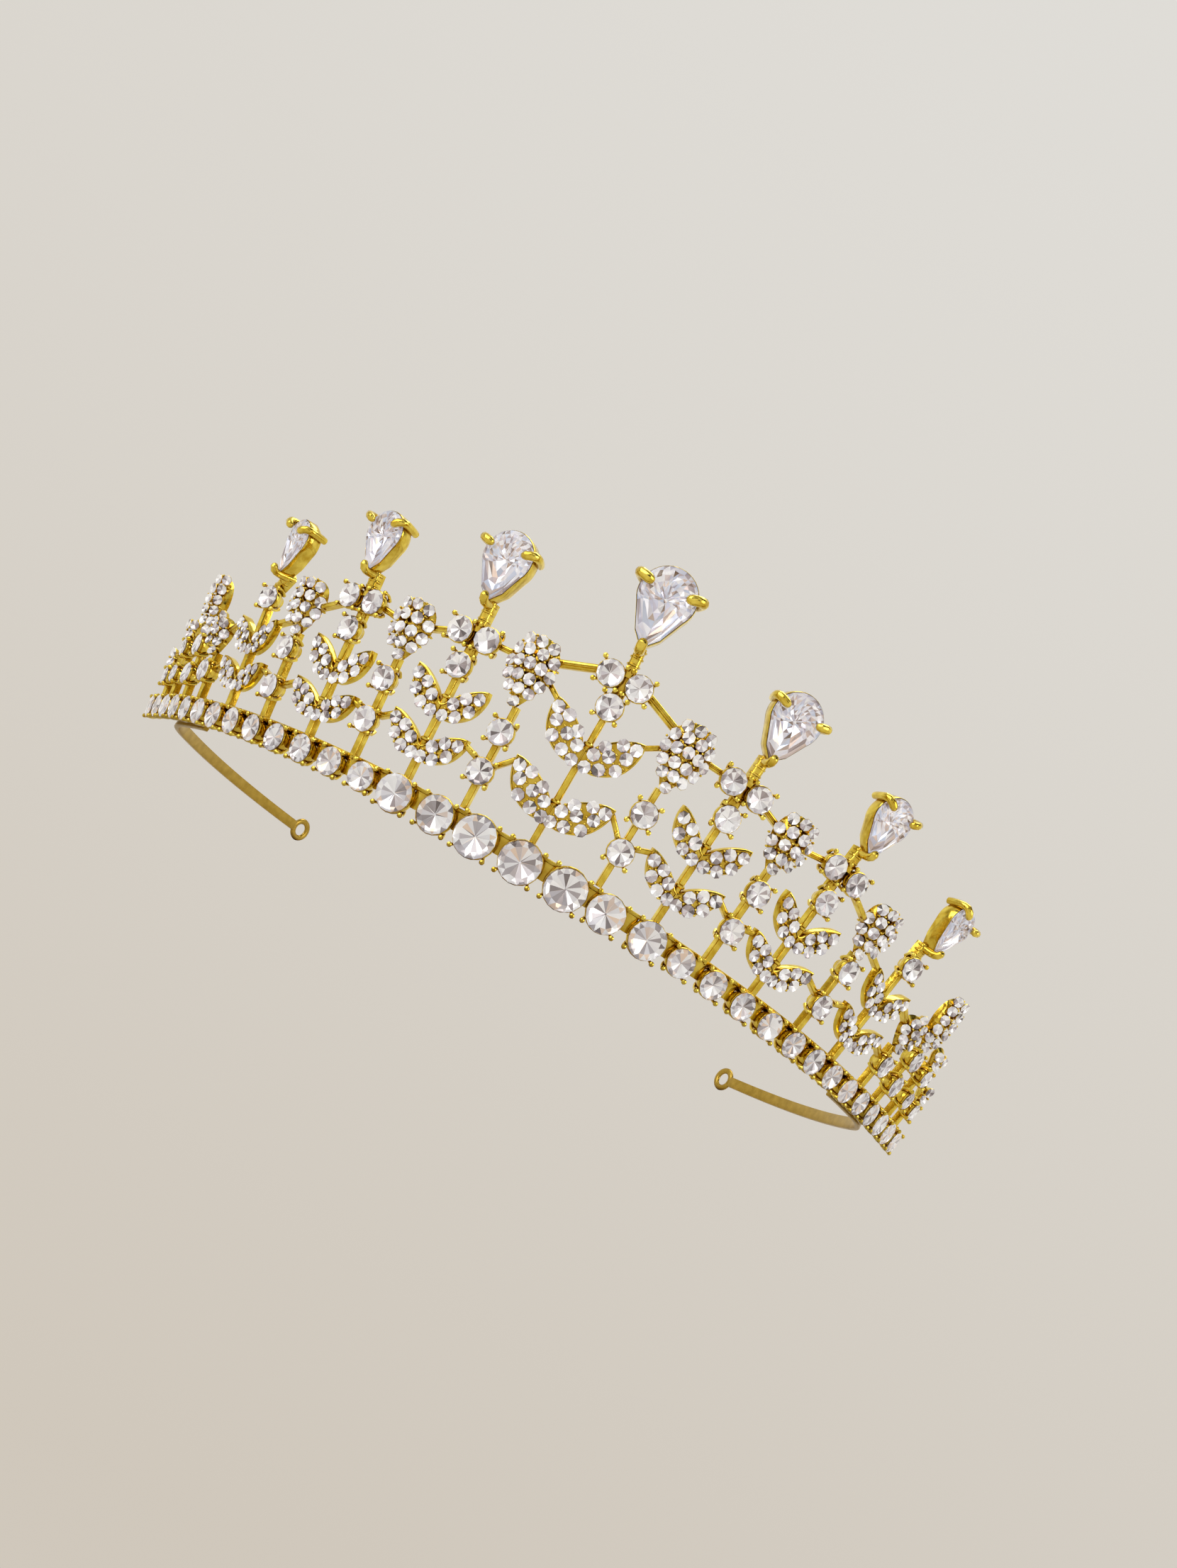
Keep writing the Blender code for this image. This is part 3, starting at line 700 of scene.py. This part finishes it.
def set_light():
    """A large window to the left, a smaller one to the right, a strip above and a softly lit room."""
    add_light("window", (-0.7, -0.75, 0.5), (1.2, 1.0), 9.5, (1.0, 0.985, 0.96))
    add_light("fill", (0.95, -0.55, 0.35), (0.6, 0.8), 3.6, (1.0, 0.97, 0.92))
    add_light("strip", (0.1, 0.15, 1.0), (0.9, 0.3), 3.4, (1.0, 0.99, 0.97))
    add_light("lamp", (0.12, -0.75, -0.2), (0.5, 0.3), 2.6, (1.0, 0.99, 0.97))
    world = bpy.data.worlds.new("studio")
    bpy.context.scene.world = world
    world.use_nodes = True
    tree = world.node_tree
    room = tree.nodes["Background"]
    where = tree.nodes.new("ShaderNodeTexCoord")
    cloud = tree.nodes.new("ShaderNodeTexNoise")
    cloud.inputs["Scale"].default_value = 1.9
    cloud.inputs["Detail"].default_value = 1.0
    tree.links.new(where.outputs["Generated"], cloud.inputs["Vector"])
    patches = blend_colours(
        tree, cloud.outputs["Fac"],
        ((0.38, (0.04, 0.035, 0.03)), (0.47, (0.20, 0.19, 0.18)), (0.56, (0.62, 0.61, 0.59)), (0.66, (1.0, 0.98, 0.95))),
    )
    room.inputs["Strength"].default_value = 1.1
    split = tree.nodes.new("ShaderNodeSeparateXYZ")
    tree.links.new(where.outputs["Generated"], split.inputs["Vector"])
    behind = tree.nodes.new("ShaderNodeMix")
    behind.data_type = "RGBA"
    behind.inputs[7].default_value = (0.80, 0.77, 0.71, 1.0)
    tree.links.new(ranged(tree, split.outputs["Y"], 0.0, 1.0, -0.15, 0.3), behind.inputs[0])
    tree.links.new(patches, behind.inputs[6])
    tree.links.new(behind.outputs[2], room.inputs["Color"])
    # The camera alone sees a plain backdrop, lighter at the top and darker and warmer towards the bottom; it lights
    # nothing.
    paper = tree.nodes.new("ShaderNodeBackground")
    shade = blend_colours(
        tree, ranged(tree, split.outputs["Z"], 0.0, 1.0, -0.35, 0.8), ((0.0, (0.63, 0.575, 0.50)), (1.0, (0.74, 0.72, 0.68)))
    )
    tree.links.new(shade, paper.inputs["Color"])
    seen = tree.nodes.new("ShaderNodeLightPath")
    mix = tree.nodes.new("ShaderNodeMixShader")
    tree.links.new(seen.outputs["Is Camera Ray"], mix.inputs["Fac"])
    tree.links.new(room.outputs["Background"], mix.inputs[1])
    tree.links.new(paper.outputs["Background"], mix.inputs[2])
    tree.links.new(mix.outputs["Shader"], tree.nodes["World Output"].inputs["Surface"])
    bpy.context.scene.view_settings.view_transform = "Standard"


set_camera()
set_stage()
set_light()


# Crystals.

def paint_facet_glints(obj):
    """Gives every facet a random value, which the stone's backing paints as a reflection, light or dark, and lets
    shine a little as painted light.
    """
    mesh = obj.data
    tones = mesh.attributes.get("facet") or mesh.attributes.new("facet", "FLOAT", "FACE")
    tones.data.foreach_set("value", [CHANCE.random() ** 0.75 for _ in mesh.polygons])


def silver_back(obj, glass, glint_foil, below=-0.15):
    """Glass all over, with a silver backing that carries the painted reflections; the kites of the crown become single
    flat facets.
    """
    obj.data.materials.clear()
    obj.data.materials.append(glass)
    obj.data.materials.append(glint_foil)
    for face in obj.data.polygons:
        face.material_index = 1 if face.normal.z < below else 0


def round_stone(name, sides, seed, glint_foil=GLINT_FOIL, table=0.86, crown=0.1, depth=0.24):
    """A round cut stone of radius one: culet, two rows of back facets, girdle, crown and table."""
    profile = [(0.04, -depth), (0.7, -0.4 * depth), (0.98, -0.03), (1.0, 0.0), (table, crown)]
    stone = ringed(name, sides, profile, 0, twist_at=(0, 1, 3))
    shake(stone, seed, 0.04, lambda point: point.z < -0.08)
    silver_back(stone, GLASS, glint_foil, -0.08)
    return stone


def shake(obj, seed, reach, test):
    """Moves the chosen corners a little each way, so that no two facets lie alike."""
    open_up(obj)
    bpy.ops.mesh.select_mode(type="VERT")
    bpy.ops.mesh.select_all(action="DESELECT")
    work = bmesh.from_edit_mesh(obj.data)
    for vert in work.verts:
        vert.select_set(test(vert.co))
    bmesh.update_edit_mesh(obj.data)
    bpy.ops.transform.vertex_random(offset=reach, uniform=0.0, normal=0.0, seed=seed)
    bpy.ops.object.mode_set(mode="OBJECT")


def pave_stone():
    """A small stone with only a few facets."""
    stone = ringed("pave_stone", 8, [(0.06, -0.22), (1.0, -0.02), (0.82, 0.1)], 0, twist_at=(1,))
    shake(stone, 5, 0.03, lambda point: point.z < -0.18)
    silver_back(stone, GLASS, GLINT_FOIL, -0.1)
    return stone


def pear_stone(name, width, height):
    """A pear brilliant: rings of facets above and below the girdle, drawn in to the heart."""
    radius = width / 2.0
    outline = pear_outline(width, height, 26)
    heart = (0.0, height - radius * 1.12, 0.0)
    stone = cut_out(name, outline, -0.04 * radius, 0.0)
    raise_face(0.05 * radius, 0.92, heart)
    raise_face(0.05 * radius, 0.82, heart)
    pick(stone, lambda centre, normal: normal.z < -0.9)
    for drop, size in ((0.05, 0.88), (0.05, 0.85), (0.04, 0.8), (0.04, 0.72), (0.03, 0.6), (0.02, 0.3)):
        raise_face(-drop * radius, size, heart)
    bpy.ops.mesh.select_all(action="SELECT")
    bpy.ops.mesh.quads_convert_to_tris(quad_method="FIXED_ALTERNATE")
    close_up(0)
    shake(stone, 3, 0.24, lambda point: point.z < -0.08 * radius)
    silver_back(stone, PEAR_GLASS, PEAR_GLINT_FOIL, -0.1)
    return stone


def set_stone(pattern, matrix, name, node=None):
    stone = copy_to(pattern, matrix, name)
    paint_facet_glints(stone)
    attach(stone, "root")
    if node:
        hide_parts(node)
    return stone


# Gold.

def ball_prong(outer, ball=0.41, post=0.22):
    """A short post that leans out from a cup's wall and ends in a ball beside the stone."""
    reach = outer + PRONG_REACH
    steps = [(post * 1.5, 0.0), (post * 1.2, 0.25), (post, 0.5), (post, 0.7), (ball * 0.8, 0.79), (ball, 0.87)]
    steps += [(ball * 0.86, 0.95), (ball * 0.45, 1.0)]
    prong = ringed("ball_prong", 8, steps)
    path = [(outer * 0.82, -2.0), (outer + 0.02, -1.5), (reach, -0.8), (reach + 0.02, -0.2), (reach - 0.06, 0.32)]
    return bend_along(prong, path)


def cup(name, radius, wall_width, foot=0.56, sides=20):
    """An open cup on a narrower foot: rounded lip under the stone's edge and a shallow pocket."""
    outer = radius + wall_width
    profile = [(outer * (foot - 0.06), BACK), (outer * foot, BACK + 0.6), (outer * (0.7 + 0.3 * foot), -1.4)]
    profile += [(outer, -0.8), (outer, -0.28)]
    profile += [(outer - 0.06, -0.16), (radius - 0.08, -0.14), (radius - 0.3, -0.3), (radius * 0.3, -0.36 * radius - 0.2)]
    return ringed(name, sides, profile)


def pronged_cup(radius, wall_width, foot=0.56):
    """A cup with four ball-tipped prongs on its diagonals."""
    base = cup("cup", radius, wall_width, foot)
    prong = ball_prong(radius + wall_width)
    prongs = [copy_to(prong, Matrix.Rotation(math.pi / 4 + k * math.pi / 2, 4, "Z")) for k in range(4)]
    put_away(prong)
    return solder("pronged_cup", [base] + prongs)


def base_row(gold):
    """Cups, crystals and webs of the base row, with the thin rail along its top."""
    cups = {radius: pronged_cup(radius, CUP_WALL, 0.82) for radius in (STONE_BIG, STONE_MIDDLE, STONE_SMALL)}
    cuts = [round_stone("row_stone", 15 + k % 2, k + 1, ROW_GLINT_FOIL) for k in range(4)]
    web = bar("web", 2.3, 2.7, -2.4, -1.1, 0.4)
    for i in range(-ROW_SIDE, ROW_SIDE + 1):
        s, radius = row_place(i)
        gold.append(copy_to(cups[radius], wall(s)))
        number = i + ROW_SIDE + 1
        set_stone(cuts[i % 4], wall(s) @ loose(0, 0, radius), "row_crystal_%02d" % number, "base_stone_%02d" % number)
        if i < ROW_SIDE:
            after, next_radius = row_place(i + 1)
            middle = (s + radius + after - next_radius) / 2.0
            gold.append(copy_to(web, wall(middle) @ Matrix.Translation((0, -0.8, 0))))
    put_away(web, *cups.values(), *cuts)
    gold.append(rail())


def loose(u, h, size):
    """The lie of a round stone in its cup: any turn, and a slight tilt."""
    return spot(u, h, 0.0, CHANCE.uniform(0, 6.0), CHANCE.uniform(-0.05, 0.05), CHANCE.uniform(-0.05, 0.05), size)


def ribbon(name, sections, round_off):
    """A strip drawn through four-cornered sections, its long edges rounded by a bevel."""
    clear_selection()
    bpy.ops.mesh.primitive_plane_add(size=1.0, location=(0, 0, 0))
    obj = bpy.context.object
    obj.name = name
    order = (0, 1, 3, 2)
    for vert, k in zip(obj.data.vertices, order):
        vert.co = sections[0][k]
    open_up(obj)
    for section in sections[1:]:
        bpy.ops.mesh.extrude_region_move(TRANSFORM_OT_translate={"value": (0, 0, 0)})
        work = bmesh.from_edit_mesh(obj.data)
        chosen = [v for v in work.verts if v.select]
        before = sections[sections.index(section) - 1]
        for vert in chosen:
            k = min(range(4), key=lambda c: (vert.co - before[c]).length)
            vert.co = section[k]
        bmesh.update_edit_mesh(obj.data)
    close_up(0)
    soften = obj.modifiers.new("soften", "BEVEL")
    soften.width = round_off
    soften.segments = 2
    soften.limit_method = "ANGLE"
    soften.angle_limit = math.radians(50)
    bpy.ops.object.modifier_apply(modifier="soften")
    bpy.ops.object.shade_smooth_by_angle(angle=math.radians(38))
    return obj


def rail():
    last = row_place(ROW_SIDE)[0] + 1.9
    count = 70
    sections = []
    for k in range(count + 1):
        s = -last + 2.0 * last * k / count
        corners = ((1.8, -2.45), (1.8, -0.85), (2.35, -0.7), (2.35, -2.45))
        sections.append([on_wall(s, 0, h, n) for h, n in corners])
    obj = ribbon("rail", sections, 0.12)
    return carry(obj, Matrix.Scale(0.001, 4))


def leaf_plate(key, which):
    """One leaf: a plate with a polished rim round a sunk bed."""
    foot, length, rise, half = LEAVES[key][which]
    lift = LOW_LEAF_LIFT if which == 0 else 0.0
    plate = cut_out("leaf", leaf_outline(foot, length, rise, half, lift), LEAF_BACK, PLATE_FRONT - 0.12)
    bpy.ops.mesh.inset(thickness=0.07, depth=0.1, use_even_offset=False)
    bpy.ops.mesh.inset(thickness=0.12, depth=0.02, use_even_offset=False)
    bpy.ops.mesh.inset(thickness=0.08, depth=-0.2, use_even_offset=False)
    close_up(45)
    return plate


def bud_plate(key):
    """A bud: a drop-shaped plate, narrower behind, with a high domed face."""
    s, rounds, foot, half, height = BUD_STEMS[key]
    middle = (0.0, foot + height * 0.56, 0.0)
    wide = BUD_WIDE.get(key, 0.86)
    outline = [(u * wide, middle[1] + (h - middle[1]) * 0.9) for u, h in bud_outline(foot, half, height)]
    plate = cut_out("bud", outline, LEAF_BACK, PLATE_FRONT - 0.75)
    size = 1.0
    for new_size in (0.86, 0.7, 0.5, 0.26):
        raise_face(0.95 * BUD_CROWN * half * (size**2 - new_size**2), new_size / size, middle)
        size = new_size
    pick(plate, lambda centre, normal: normal.z < -0.9)
    bpy.ops.transform.resize(value=(0.7, 0.8, 1), center_override=middle)
    close_up(45)
    return plate


def pave(stones, beads, spots, here, level, slope=None):
    """Small stones at the given spots, each in its seat or with bead prongs in the hollows between."""
    pattern, bead, seat = PAVE_PATTERNS
    tips = []
    for u, h in spots:
        rise, slope_u, slope_h = slope(u, h) if slope else (0.0, 0.0, 0.0)
        tilt_u = CHANCE.uniform(-0.07, 0.07) - math.atan(slope_u)
        tilt_h = CHANCE.uniform(-0.07, 0.07) + math.atan(slope_h)
        size = (BUD_PAVE if slope else PAVE) * CHANCE.uniform(0.96, 1.02)
        lie = here @ spot(u, h, level + rise, CHANCE.uniform(0, 0.8), tilt_u, tilt_h, size)
        stone = copy_to(pattern, lie)
        paint_facet_glints(stone)
        stones.append(stone)
        if slope:
            beads.append(copy_to(seat, lie))
        for k in range(8):
            turn = math.tau * k / 8
            tip = Vector((u, h)) + Vector((math.cos(turn), math.sin(turn))) * (PAVE + 0.1)
            gaps = sorted((tip - Vector(other)).length for other in spots)
            between = len(gaps) > 1 and PAVE + 0.02 < gaps[0] and gaps[1] < PAVE + 0.5
            if between and all((tip - other).length > 0.8 for other in tips):
                tips.append(tip)
    for tip in tips:
        rise = slope(tip.x, tip.y)[0] if slope else 0.0
        beads.append(copy_to(bead, here @ spot(tip.x, tip.y, level + rise)))


def leaf_pairs(key, gold, stones):
    plates = [leaf_plate(key, which) for which in (0, 1)]
    shares = NINE_STONES if key == "centre" else SIX_STONES
    for side in sides_of(key):
        s = side * PEAR_STEMS[key][0]
        for which, plate in enumerate(plates):
            lift = LOW_LEAF_LIFT if which == 0 else 0.0
            spots = leaf_stones(*LEAVES[key][which], lift, shares)
            for flip in (1, -1):
                turn = MIRROR if flip < 0 else Matrix.Identity(4)
                gold.append(copy_to(plate, wall(s) @ turn))
                pave(stones, gold, [(flip * u, h) for u, h in spots], wall(s), PLATE_FRONT + 0.2)
    put_away(*plates)


def finger(width, path):
    """A thick claw with a rounded end, bent along its path: places away from the stone's edge and up."""
    half = width / 2.0
    rings = [(half * 0.9, 0.0), (half, 0.12), (half, 0.3), (half, 0.45), (half, 0.56), (half, 0.67), (half, 0.78)]
    rings += [(half * 0.98, 0.88), (half * 0.8, 0.95), (half * 0.4, 0.995)]
    return bend_along(ringed("claw", 10, rings), path)


def pear_setting(name, key, side, gold):
    """Collet, claws and neck of one pear, and its stone."""
    s, width, height, foot, lean, claw_turn = PEAR_STEMS[key]
    bent = BENT_IN if name == "fourth_left" else 0.0
    lean = -side * math.radians(BENT_LEAN if bent else lean)
    shift = -side * bent
    if key == "centre":
        shift, lean = CENTRE_PEAR_LIE[0], math.radians(CENTRE_PEAR_LIE[1])
    radius = width / 2.0
    here = wall(side * s) @ Matrix.Translation((shift, foot, PEAR_GIRDLE)) @ Matrix.Rotation(lean, 4, "Z")
    gold.append(carry(collet(width, height, COLLET_DEPTHS[key]), here))
    claw, low_claw = (
        finger(CLAW_WIDE * CLAW_SIZES[key], [(out * CLAW_SIZES[key], up) for out, up in path])
        for path in (CLAW_PATH, LOW_CLAW_PATH)
    )
    heart = height - radius
    for turn in (math.radians(claw_turn), math.pi - math.radians(claw_turn)):
        place = Matrix.Translation((radius * math.cos(turn), heart + radius * math.sin(turn), 0))
        gold.append(copy_to(claw, here @ place @ Matrix.Rotation(turn, 4, "Z")))
    place = Matrix.Translation((0, 0.1, 0)) @ Matrix.Rotation(-math.pi / 2, 4, "Z")
    gold.append(copy_to(low_claw, here @ place))
    put_away(claw, low_claw)
    stone = pear_stone("pear_stone", width, height)
    crystal = set_stone(stone, here, name + "_pear_crystal", name + "_pear")
    put_away(stone)
    upper = TREFOILS.get(key, (SINGLE_HIGH, SINGLE_HIGH, 0.0))[0]
    low = Vector((0.0, upper + 0.6))
    run = Vector((shift, foot + 0.3)) - low
    along = wall(side * s) @ Matrix.Translation((low.x, low.y, 0)) @ Matrix.Rotation(math.atan2(-run.x, run.y), 4, "Z")
    gold.append(carry(bar("neck", 1.6, run.length, STEM_BACK, -0.4, 0.55), along))
    collar = ringed("collar", 12, [(0.82, -0.24), (1.02, -0.1), (1.02, 0.1), (0.82, 0.24)])
    carry(collar, Matrix.Rotation(-math.pi / 2, 4, "X"))
    for share in (0.42, 0.66, 0.9):
        gold.append(copy_to(collar, along @ Matrix.Translation((0, run.length * share, -1.25))))
    put_away(collar)


def collet(width, height, depth):
    """The deep wall under a pear, its lip just outside the stone's edge; the girdle is at level nought."""
    centre = (0.0, height * 0.52, 0.0)
    outline = pear_outline(width + 2 * PEAR_LIP, height + 2.4 * PEAR_LIP, 32)
    outline = [(u, h - 1.35 * PEAR_LIP) for u, h in outline]
    form = cut_out("collet", outline, -depth, -0.62 * depth)
    raise_face(0.62 * depth - 0.3)
    raise_face(0.14, 0.985, centre)
    raise_face(-0.6, 0.93, centre)
    raise_face(-0.9, 0.4, centre)
    pick(form, lambda middle, normal: normal.z < -0.9)
    bpy.ops.transform.resize(value=(0.82, 0.85, 1), center_override=centre)
    close_up(45)
    return form


def pear_uprights(gold, stones):
    round_cup = pronged_cup(CHATON, CUP_WALL)
    cuts = [round_stone("stem_stone", 12, seed) for seed in (11, 12, 13)]
    k = 0
    for key in PEAR_STEMS:
        leaf_pairs(key, gold, stones)
        for side in sides_of(key):
            s = PEAR_STEMS[key][0]
            name = label(key, side)
            upper, lower, apart = TREFOILS.get(key, (SINGLE_HIGH, SINGLE_HIGH, 0.0))
            foot = stem_foot(s)
            stem = bar("stem", 2 * STEM_HALF, lower - foot, STEM_BACK, STEM_FRONT, 0.46)
            gold.append(carry(stem, wall(side * s) @ Matrix.Translation((0, foot, 0))))
            for leaf in LEAVES[key]:
                knuckle = ringed("knuckle", 10, [(0.5, -0.35), (0.78, -0.12), (0.78, 0.14), (0.5, 0.4)])
                carry(knuckle, Matrix.Rotation(-math.pi / 2, 4, "X"))
                gold.append(carry(knuckle, wall(side * s) @ Matrix.Translation((0, leaf[0] + 2.5, -1.3))))
            shift = -side * (BENT_IN if name == "fourth_left" else 0.0)
            spots = [("single", shift / 3.0, SINGLE_HIGH)]
            if key in TREFOILS:
                spots = [("inner", -side * apart, upper), ("outer", side * apart, upper), ("lower", 0.0, lower)]
                hub = bar("hub", 1.9, upper - lower + 1.0, STEM_BACK, -1.2, 0.5)
                gold.append(carry(hub, wall(side * s) @ Matrix.Translation((0, lower, 0))))
            for place, u, h in spots:
                turn = Matrix.Rotation(-side * SINGLE_TURN if place == "single" else 0.0, 4, "Y")
                here = wall(side * s) @ Matrix.Translation((u, h, 0)) @ turn
                gold.append(copy_to(round_cup, here))
                full = "%s_%s" % (name, place)
                set_stone(cuts[k % 3], here @ loose(0, 0, CHATON), full + "_crystal", full + "_stone")
                k += 1
            pear_setting(name, key, side, gold)
    put_away(round_cup, *cuts)


def bud_uprights(gold, stones):
    cups = {CHATON: pronged_cup(CHATON, CUP_WALL), SMALL_CHATON: pronged_cup(SMALL_CHATON, CUP_WALL)}
    cuts = [round_stone("stem_stone", 12, seed) for seed in (14, 15, 16)]
    for key, (s, rounds, foot, half, height) in BUD_STEMS.items():
        plate = bud_plate(key)
        radius = SMALL_CHATON if key in ("end_stem", "last_stem") else CHATON
        for side in (-1, 1):
            name = label(key, side)
            base = stem_foot(s)
            stem = bar("stem", 2 * STEM_HALF, foot + 0.6 - base, STEM_BACK, STEM_FRONT, 0.46)
            gold.append(carry(stem, wall(side * s) @ Matrix.Translation((0, base, 0))))
            shift = side * BUD_SHIFT.get(key, 0.0)
            here = wall(side * s) @ Matrix.Translation((shift, 0, PLATE_FRONT - 0.3))
            here = here @ Matrix.Rotation(-side * math.radians(BUD_TURN.get(key, 0.0)), 4, "Y")
            gold.append(copy_to(plate, here @ Matrix.Translation((0, 0, 0.3 - PLATE_FRONT))))
            pave(stones, gold, bud_stones(key, foot, half, height), here, 0.3, lambda u, h: dome(u, h, foot, half, height))
            for k, h in enumerate(rounds):
                gold.append(copy_to(cups[radius], wall(side * s) @ Matrix.Translation((0, h, 0))))
                set_stone(cuts[k + side], wall(side * s) @ loose(0, h, radius), "%s_crystal_%d" % (name, k + 1))
        put_away(plate)
    put_away(*cuts, *cups.values())


def links(gold):
    """The short bars that tie one upright to the next."""
    stems = {key: stem[0] for key, stem in (*PEAR_STEMS.items(), *BUD_STEMS.items())}
    for side in (-1, 1):
        for (first, u0, h0), (second, u1, h1), half in LINKS:
            s0, s1 = stems[first], stems[second]
            start = on_wall(side * s0, side * u0, h0, LINK_LEVEL)
            end = on_wall(side * s1, side * u1, h1, LINK_LEVEL)
            axis = (end - start).normalized()
            face = (wall(side * (s0 + s1) / 2.0).to_3x3() @ Vector((0, 0, 1))).normalized()
            across = axis.cross(face).normalized()
            face = across.cross(axis)
            groove = 0.16 if half > 0.42 else 0.0
            link = bar("link", 2 * half, (end - start).length, -0.7, 0.6, half * 0.6, groove)
            rows = [(across[k], axis[k], face[k], start[k]) for k in range(3)]
            gold.append(carry(link, Matrix.Scale(0.001, 4) @ Matrix(rows + [(0, 0, 0, 1)])))


def band_path(finer=4):
    """Plan points and headings of one side of the headband, from behind the row to its end."""
    inside = BACK - BAND_GAP - BAND_THICK / 2.0 - BAND_HEIGHT / 2.0 * math.sin(LEAN)
    shift = BAND_Z * math.tan(LEAN) + inside / math.cos(LEAN)
    points = []
    count = 4 * finer
    for k in range(count + 1):
        s = BAND_START + (BAND_LEAVE - BAND_START) * k / count
        x, y = base_point(s)
        turn = heading(s)
        points.append((x + math.sin(turn) * shift, y - math.cos(turn) * shift, turn))
    for radius, degrees in BAND_BENDS:
        steps = max(3, int(round(degrees / 7.0))) * finer
        for _ in range(steps):
            x, y, turn = points[-1]
            swing = math.radians(degrees) / steps
            middle = turn + swing / 2.0
            length = 2.0 * radius * math.sin(swing / 2.0)
            points.append((x + math.cos(middle) * length, y + math.sin(middle) * length, turn + swing))
    return points


def headband(side):
    """Half of the flat band, with the small eye at its end."""
    points = band_path()
    half = BAND_HEIGHT / 2.0
    sections = []
    for px, py, t in points:
        out = (math.sin(t) * BAND_THICK / 2.0, -math.cos(t) * BAND_THICK / 2.0)
        section = []
        for o, z in ((-1, -half), (1, -half), (1, half), (-1, half)):
            section.append(Vector((side * (px + out[0] * o), py + out[1] * o, BAND_Z + z)) + ROW_SHIFT)
        sections.append(section)
    strip = ribbon("strip", sections, 0.16)
    x, y, turn = points[-1]
    middle = (LOOP_RADIUS + LOOP_HOLE) / 2.0
    clear_selection()
    bpy.ops.mesh.primitive_torus_add(
        major_radius=middle, minor_radius=(LOOP_RADIUS - LOOP_HOLE) / 2.0, major_segments=40, minor_segments=12
    )
    eye = bpy.context.object
    open_up(eye)
    bpy.ops.transform.resize(value=(1, 1, BAND_THICK / (LOOP_RADIUS - LOOP_HOLE)), center_override=(0, 0, 0))
    close_up(60)
    along = Vector((side * math.cos(turn), math.sin(turn), 0.0))
    out = Vector((side * math.sin(turn), -math.cos(turn), 0.0))
    centre = Vector((side * x, y, BAND_Z)) + ROW_SHIFT + along * (LOOP_RADIUS - 0.5)
    up = Vector((0, 0, 1))
    rows = [(along[k], up[k], out[k], centre[k]) for k in range(3)]
    carry(eye, Matrix(rows + [(0, 0, 0, 1)]))
    name = "headband_right" if side > 0 else "headband_left"
    band = solder("band_" + name[9:], [strip, eye])
    carry(band, Matrix.Scale(0.001, 4))
    # Painted shade: the band's gold is darker than the front's to stand for the shade it lies in.
    band.data.materials.clear()
    band.data.materials.append(BAND_GOLD_PAINTED_SHADE)
    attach(band, "root")
    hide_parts(name)


PAVE_PATTERNS = (
    pave_stone(),
    ringed("bead", 6, [(0.15, -0.5), (0.2, 0.0), (0.16, 0.12), (0.07, 0.18)]),
    ringed("seat", 8, [(0.62, -0.95), (0.9, -0.35), (1.04, -0.1), (0.98, -0.05), (0.9, -0.12), (0.2, -0.42)]),
)


def main():
    gold = []
    stones = []
    base_row(gold)
    pear_uprights(gold, stones)
    bud_uprights(gold, stones)
    links(gold)
    front = solder("cast_front", gold)
    front.data.materials.clear()
    front.data.materials.append(CAST_GOLD)
    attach(front, "root")
    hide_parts("frame")
    small = solder("pave_crystals", stones)
    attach(small, "root")
    for side in (-1, 1):
        headband(side)
    put_away(*PAVE_PATTERNS)
    for name in ("cast_front", "pave_crystals"):
        mesh = bpy.data.objects[name].data
        mesh.calc_loop_triangles()
        print(name, len(mesh.loop_triangles), "triangles")


main()
